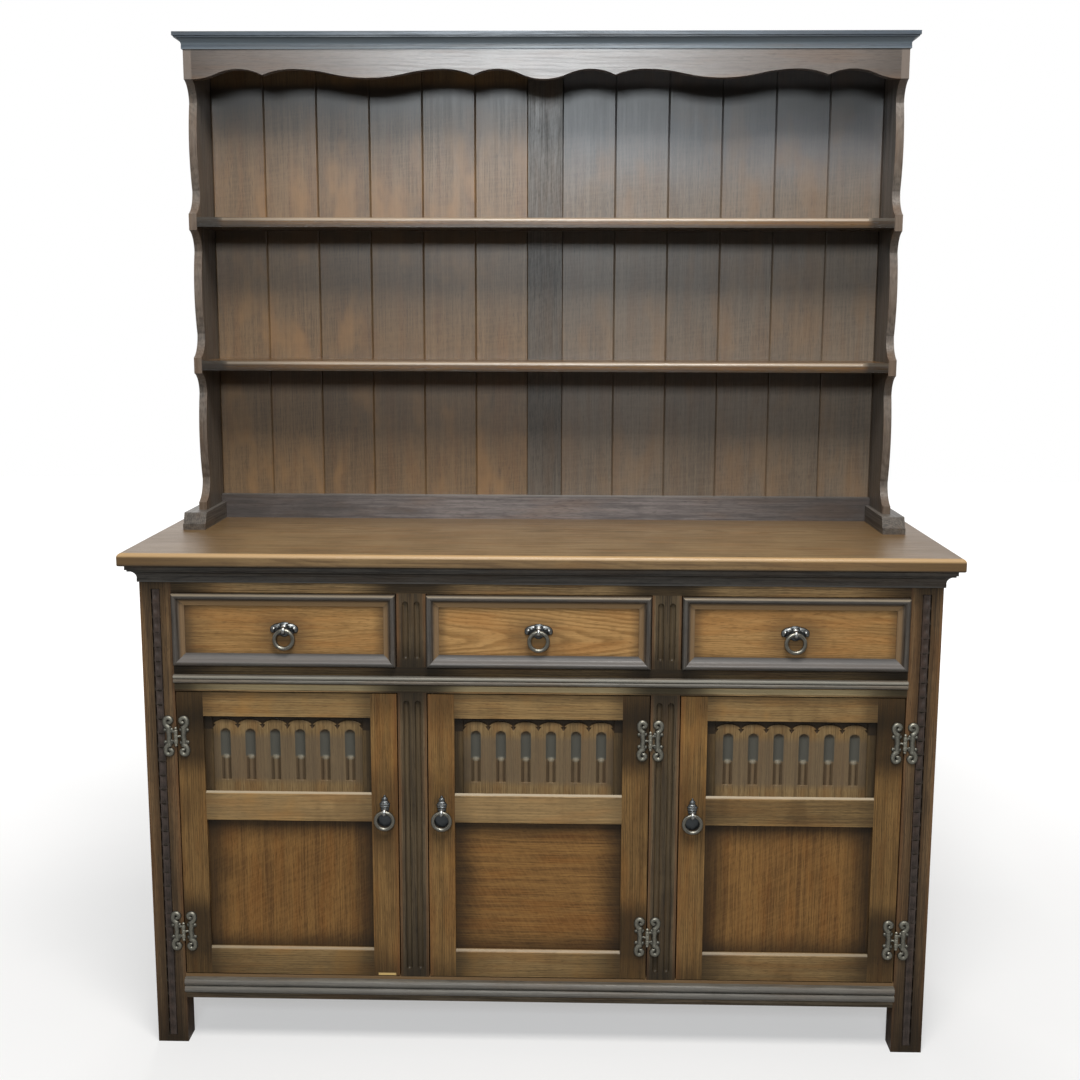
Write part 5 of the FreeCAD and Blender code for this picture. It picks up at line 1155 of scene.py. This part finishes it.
finial_lumps = [lump(0.0, 0.0, z, radius, 1.0, thick, tall) for z, radius, thick, tall in FINIAL] + eye()
disc = rod(48, DISC_RADIUS, DISC_THICKNESS, (0.0, 0.0, -DOOR_RING_RADIUS), QUARTER_TURN)
disc = joined("door_plate_disc", [disc])
finish_with(disc, "BEVEL", width=DISC_BEVEL * MILLIMETRE, segments=3, limit_method="ANGLE")
door_plate = cast("door_plate_master", [*finial_lumps, disc])
door_ring = pull_ring("door_ring_master", DOOR_RING_RADIUS)
for door, spot in PULL_PLACES.items():
    hang_pull("door", door, door_plate, door_ring, spot, DOOR_EYE_HEIGHT)
for master in (drawer_plate, drawer_ring, door_plate, door_ring):
    bpy.data.objects.remove(master)

# Studio: a pale floor that lightens with distance, a soft panel of light in front and above, a lower
# one behind the camera and a weaker one behind the piece, an even pale surround, and a dark card that
# keeps the glare of the surround off the lacquer.
FLOOR_SIZE = 16.0
FLOOR_COLOUR = (0.42, 0.42, 0.42)
FLOOR_WORN = tuple(0.97 * part for part in FLOOR_COLOUR)
FLOOR_MOTTLE = (0.5, 0.5, 0.5)
FLOOR_ROUGH = (0.70, 0.80)
FLOOR_LIFT = (0.45, 1.0)
FLOOR_LIFT_REACH = (0.6, 3.2)
CARD_COLOUR = (0.03, 0.03, 0.03)
CARD_PLACE = (0.0, -4.6, 2.3)
CARD_SIZE = (10.0, 4.4, 1.0)
SURROUND_LEVEL = 0.16
WHITE = (1.0, 1.0, 1.0, 1.0)
COOL_WHITE = (0.88, 0.95, 1.00)
WARM_WHITE = (1.00, 0.97, 0.93)
LIGHTS = {
    "overhead_panel": ((0.22, -1.60, 3.30), (0.0, 0.0, 0.90), (1.3, 0.9), 98.0, WARM_WHITE),
    "front_panel": ((-0.15, -3.80, 2.35), (0.0, 0.0, 1.10), (1.3, 0.6), 72.0, COOL_WHITE),
    "back_panel": ((-0.60, 3.60, 3.40), (0.0, 0.2, 0.80), (1.6, 0.8), 55.0, WARM_WHITE),
}


def studio_flat(name, size, spot, turn, paint):
    """A flat of the studio, which is no part of the dresser."""
    bpy.ops.object.select_all(action="DESELECT")
    bpy.ops.mesh.primitive_plane_add(size=size, location=spot, rotation=(turn, 0.0, 0.0))
    flat = bpy.context.object
    flat.name = name
    flat.data.materials.append(paint.material)
    return flat


floor_paint = Finish("studio_floor_paint")
mottle = floor_paint.cloud(FLOOR_MOTTLE, 3.0)
ray = floor_paint.add("ShaderNodeLightPath")
away = floor_paint.add("ShaderNodeVectorMath", {0: floor_paint.place}, operation="LENGTH").outputs["Value"]
lift = floor_paint.spread(away, *FLOOR_LIFT_REACH, *FLOOR_LIFT)
floor_paint.put(floor_paint.shader, {
    "Base Color": floor_paint.mix(mottle, FLOOR_COLOUR, FLOOR_WORN),
    "Roughness": floor_paint.spread(mottle, *MIDDLING, *FLOOR_ROUGH),
    "Emission Color": WHITE,
    "Emission Strength": floor_paint.sum("MULTIPLY", ray.outputs["Is Camera Ray"], lift),
})
studio_flat("studio_floor", FLOOR_SIZE, (0.0, 0.0, 0.0), 0.0, floor_paint)

card_paint = Finish("studio_card_paint")
card_paint.put(card_paint.shader, {"Base Color": (*CARD_COLOUR, 1.0), "Roughness": 0.9})
card = studio_flat("studio_card", 1.0, CARD_PLACE, QUARTER_TURN, card_paint)
card.scale = CARD_SIZE
card.visible_camera = False

for name, (spot, aim, (width, height), watts, white) in LIGHTS.items():
    bpy.ops.object.light_add(type="AREA", location=spot)
    lamp = bpy.context.object
    lamp.name = name
    lamp.rotation_euler = (Vector(aim) - Vector(spot)).to_track_quat("-Z", "Y").to_euler()
    lamp.data.shape = "RECTANGLE"
    lamp.data.size = width
    lamp.data.size_y = height
    lamp.data.energy = watts
    lamp.data.color = white

world = bpy.data.worlds.new("studio_surround")
bpy.context.scene.world = world
world.use_nodes = True
nodes = world.node_tree.nodes
links = world.node_tree.links
background = nodes["Background"]
background.inputs["Color"].default_value = WHITE
ray = nodes.new("ShaderNodeLightPath")
seen = ray.outputs["Is Camera Ray"]
for kind in ("Is Transmission Ray", "Is Glossy Ray"):
    either = nodes.new("ShaderNodeMath")
    either.operation = "MAXIMUM"
    links.new(seen, either.inputs[0])
    links.new(ray.outputs[kind], either.inputs[1])
    seen = either.outputs[0]
level = nodes.new("ShaderNodeMapRange")
level.inputs["To Min"].default_value = SURROUND_LEVEL
links.new(seen, level.inputs["Value"])
links.new(level.outputs[0], background.inputs["Strength"])

# Camera: a normal lens at chest height, a little right of the middle and turned slightly down, so that
# the whole front fills the picture.
CAMERA_AT = (0.0558, -2.4471, 1.2549)
CAMERA_LENS = 46.81
CAMERA_SENSOR = 36.0
CAMERA_NEAR = 0.05
CAMERA_YAW = -0.024
CAMERA_PITCH = 0.162
CAMERA_ROLL = 0.003

bpy.ops.object.select_all(action="DESELECT")
bpy.ops.object.camera_add()
camera = bpy.context.object
camera.data.sensor_width = CAMERA_SENSOR
camera.data.lens = CAMERA_LENS
camera.data.clip_start = CAMERA_NEAR
turned = Matrix.Rotation(-CAMERA_YAW, 4, "Z") @ Matrix.Rotation(QUARTER_TURN - CAMERA_PITCH, 4, "X")
rolled = Matrix.Rotation(CAMERA_ROLL, 4, "Z")
camera.matrix_world = Matrix.Translation(CAMERA_AT) @ turned @ rolled
bpy.context.scene.camera = camera
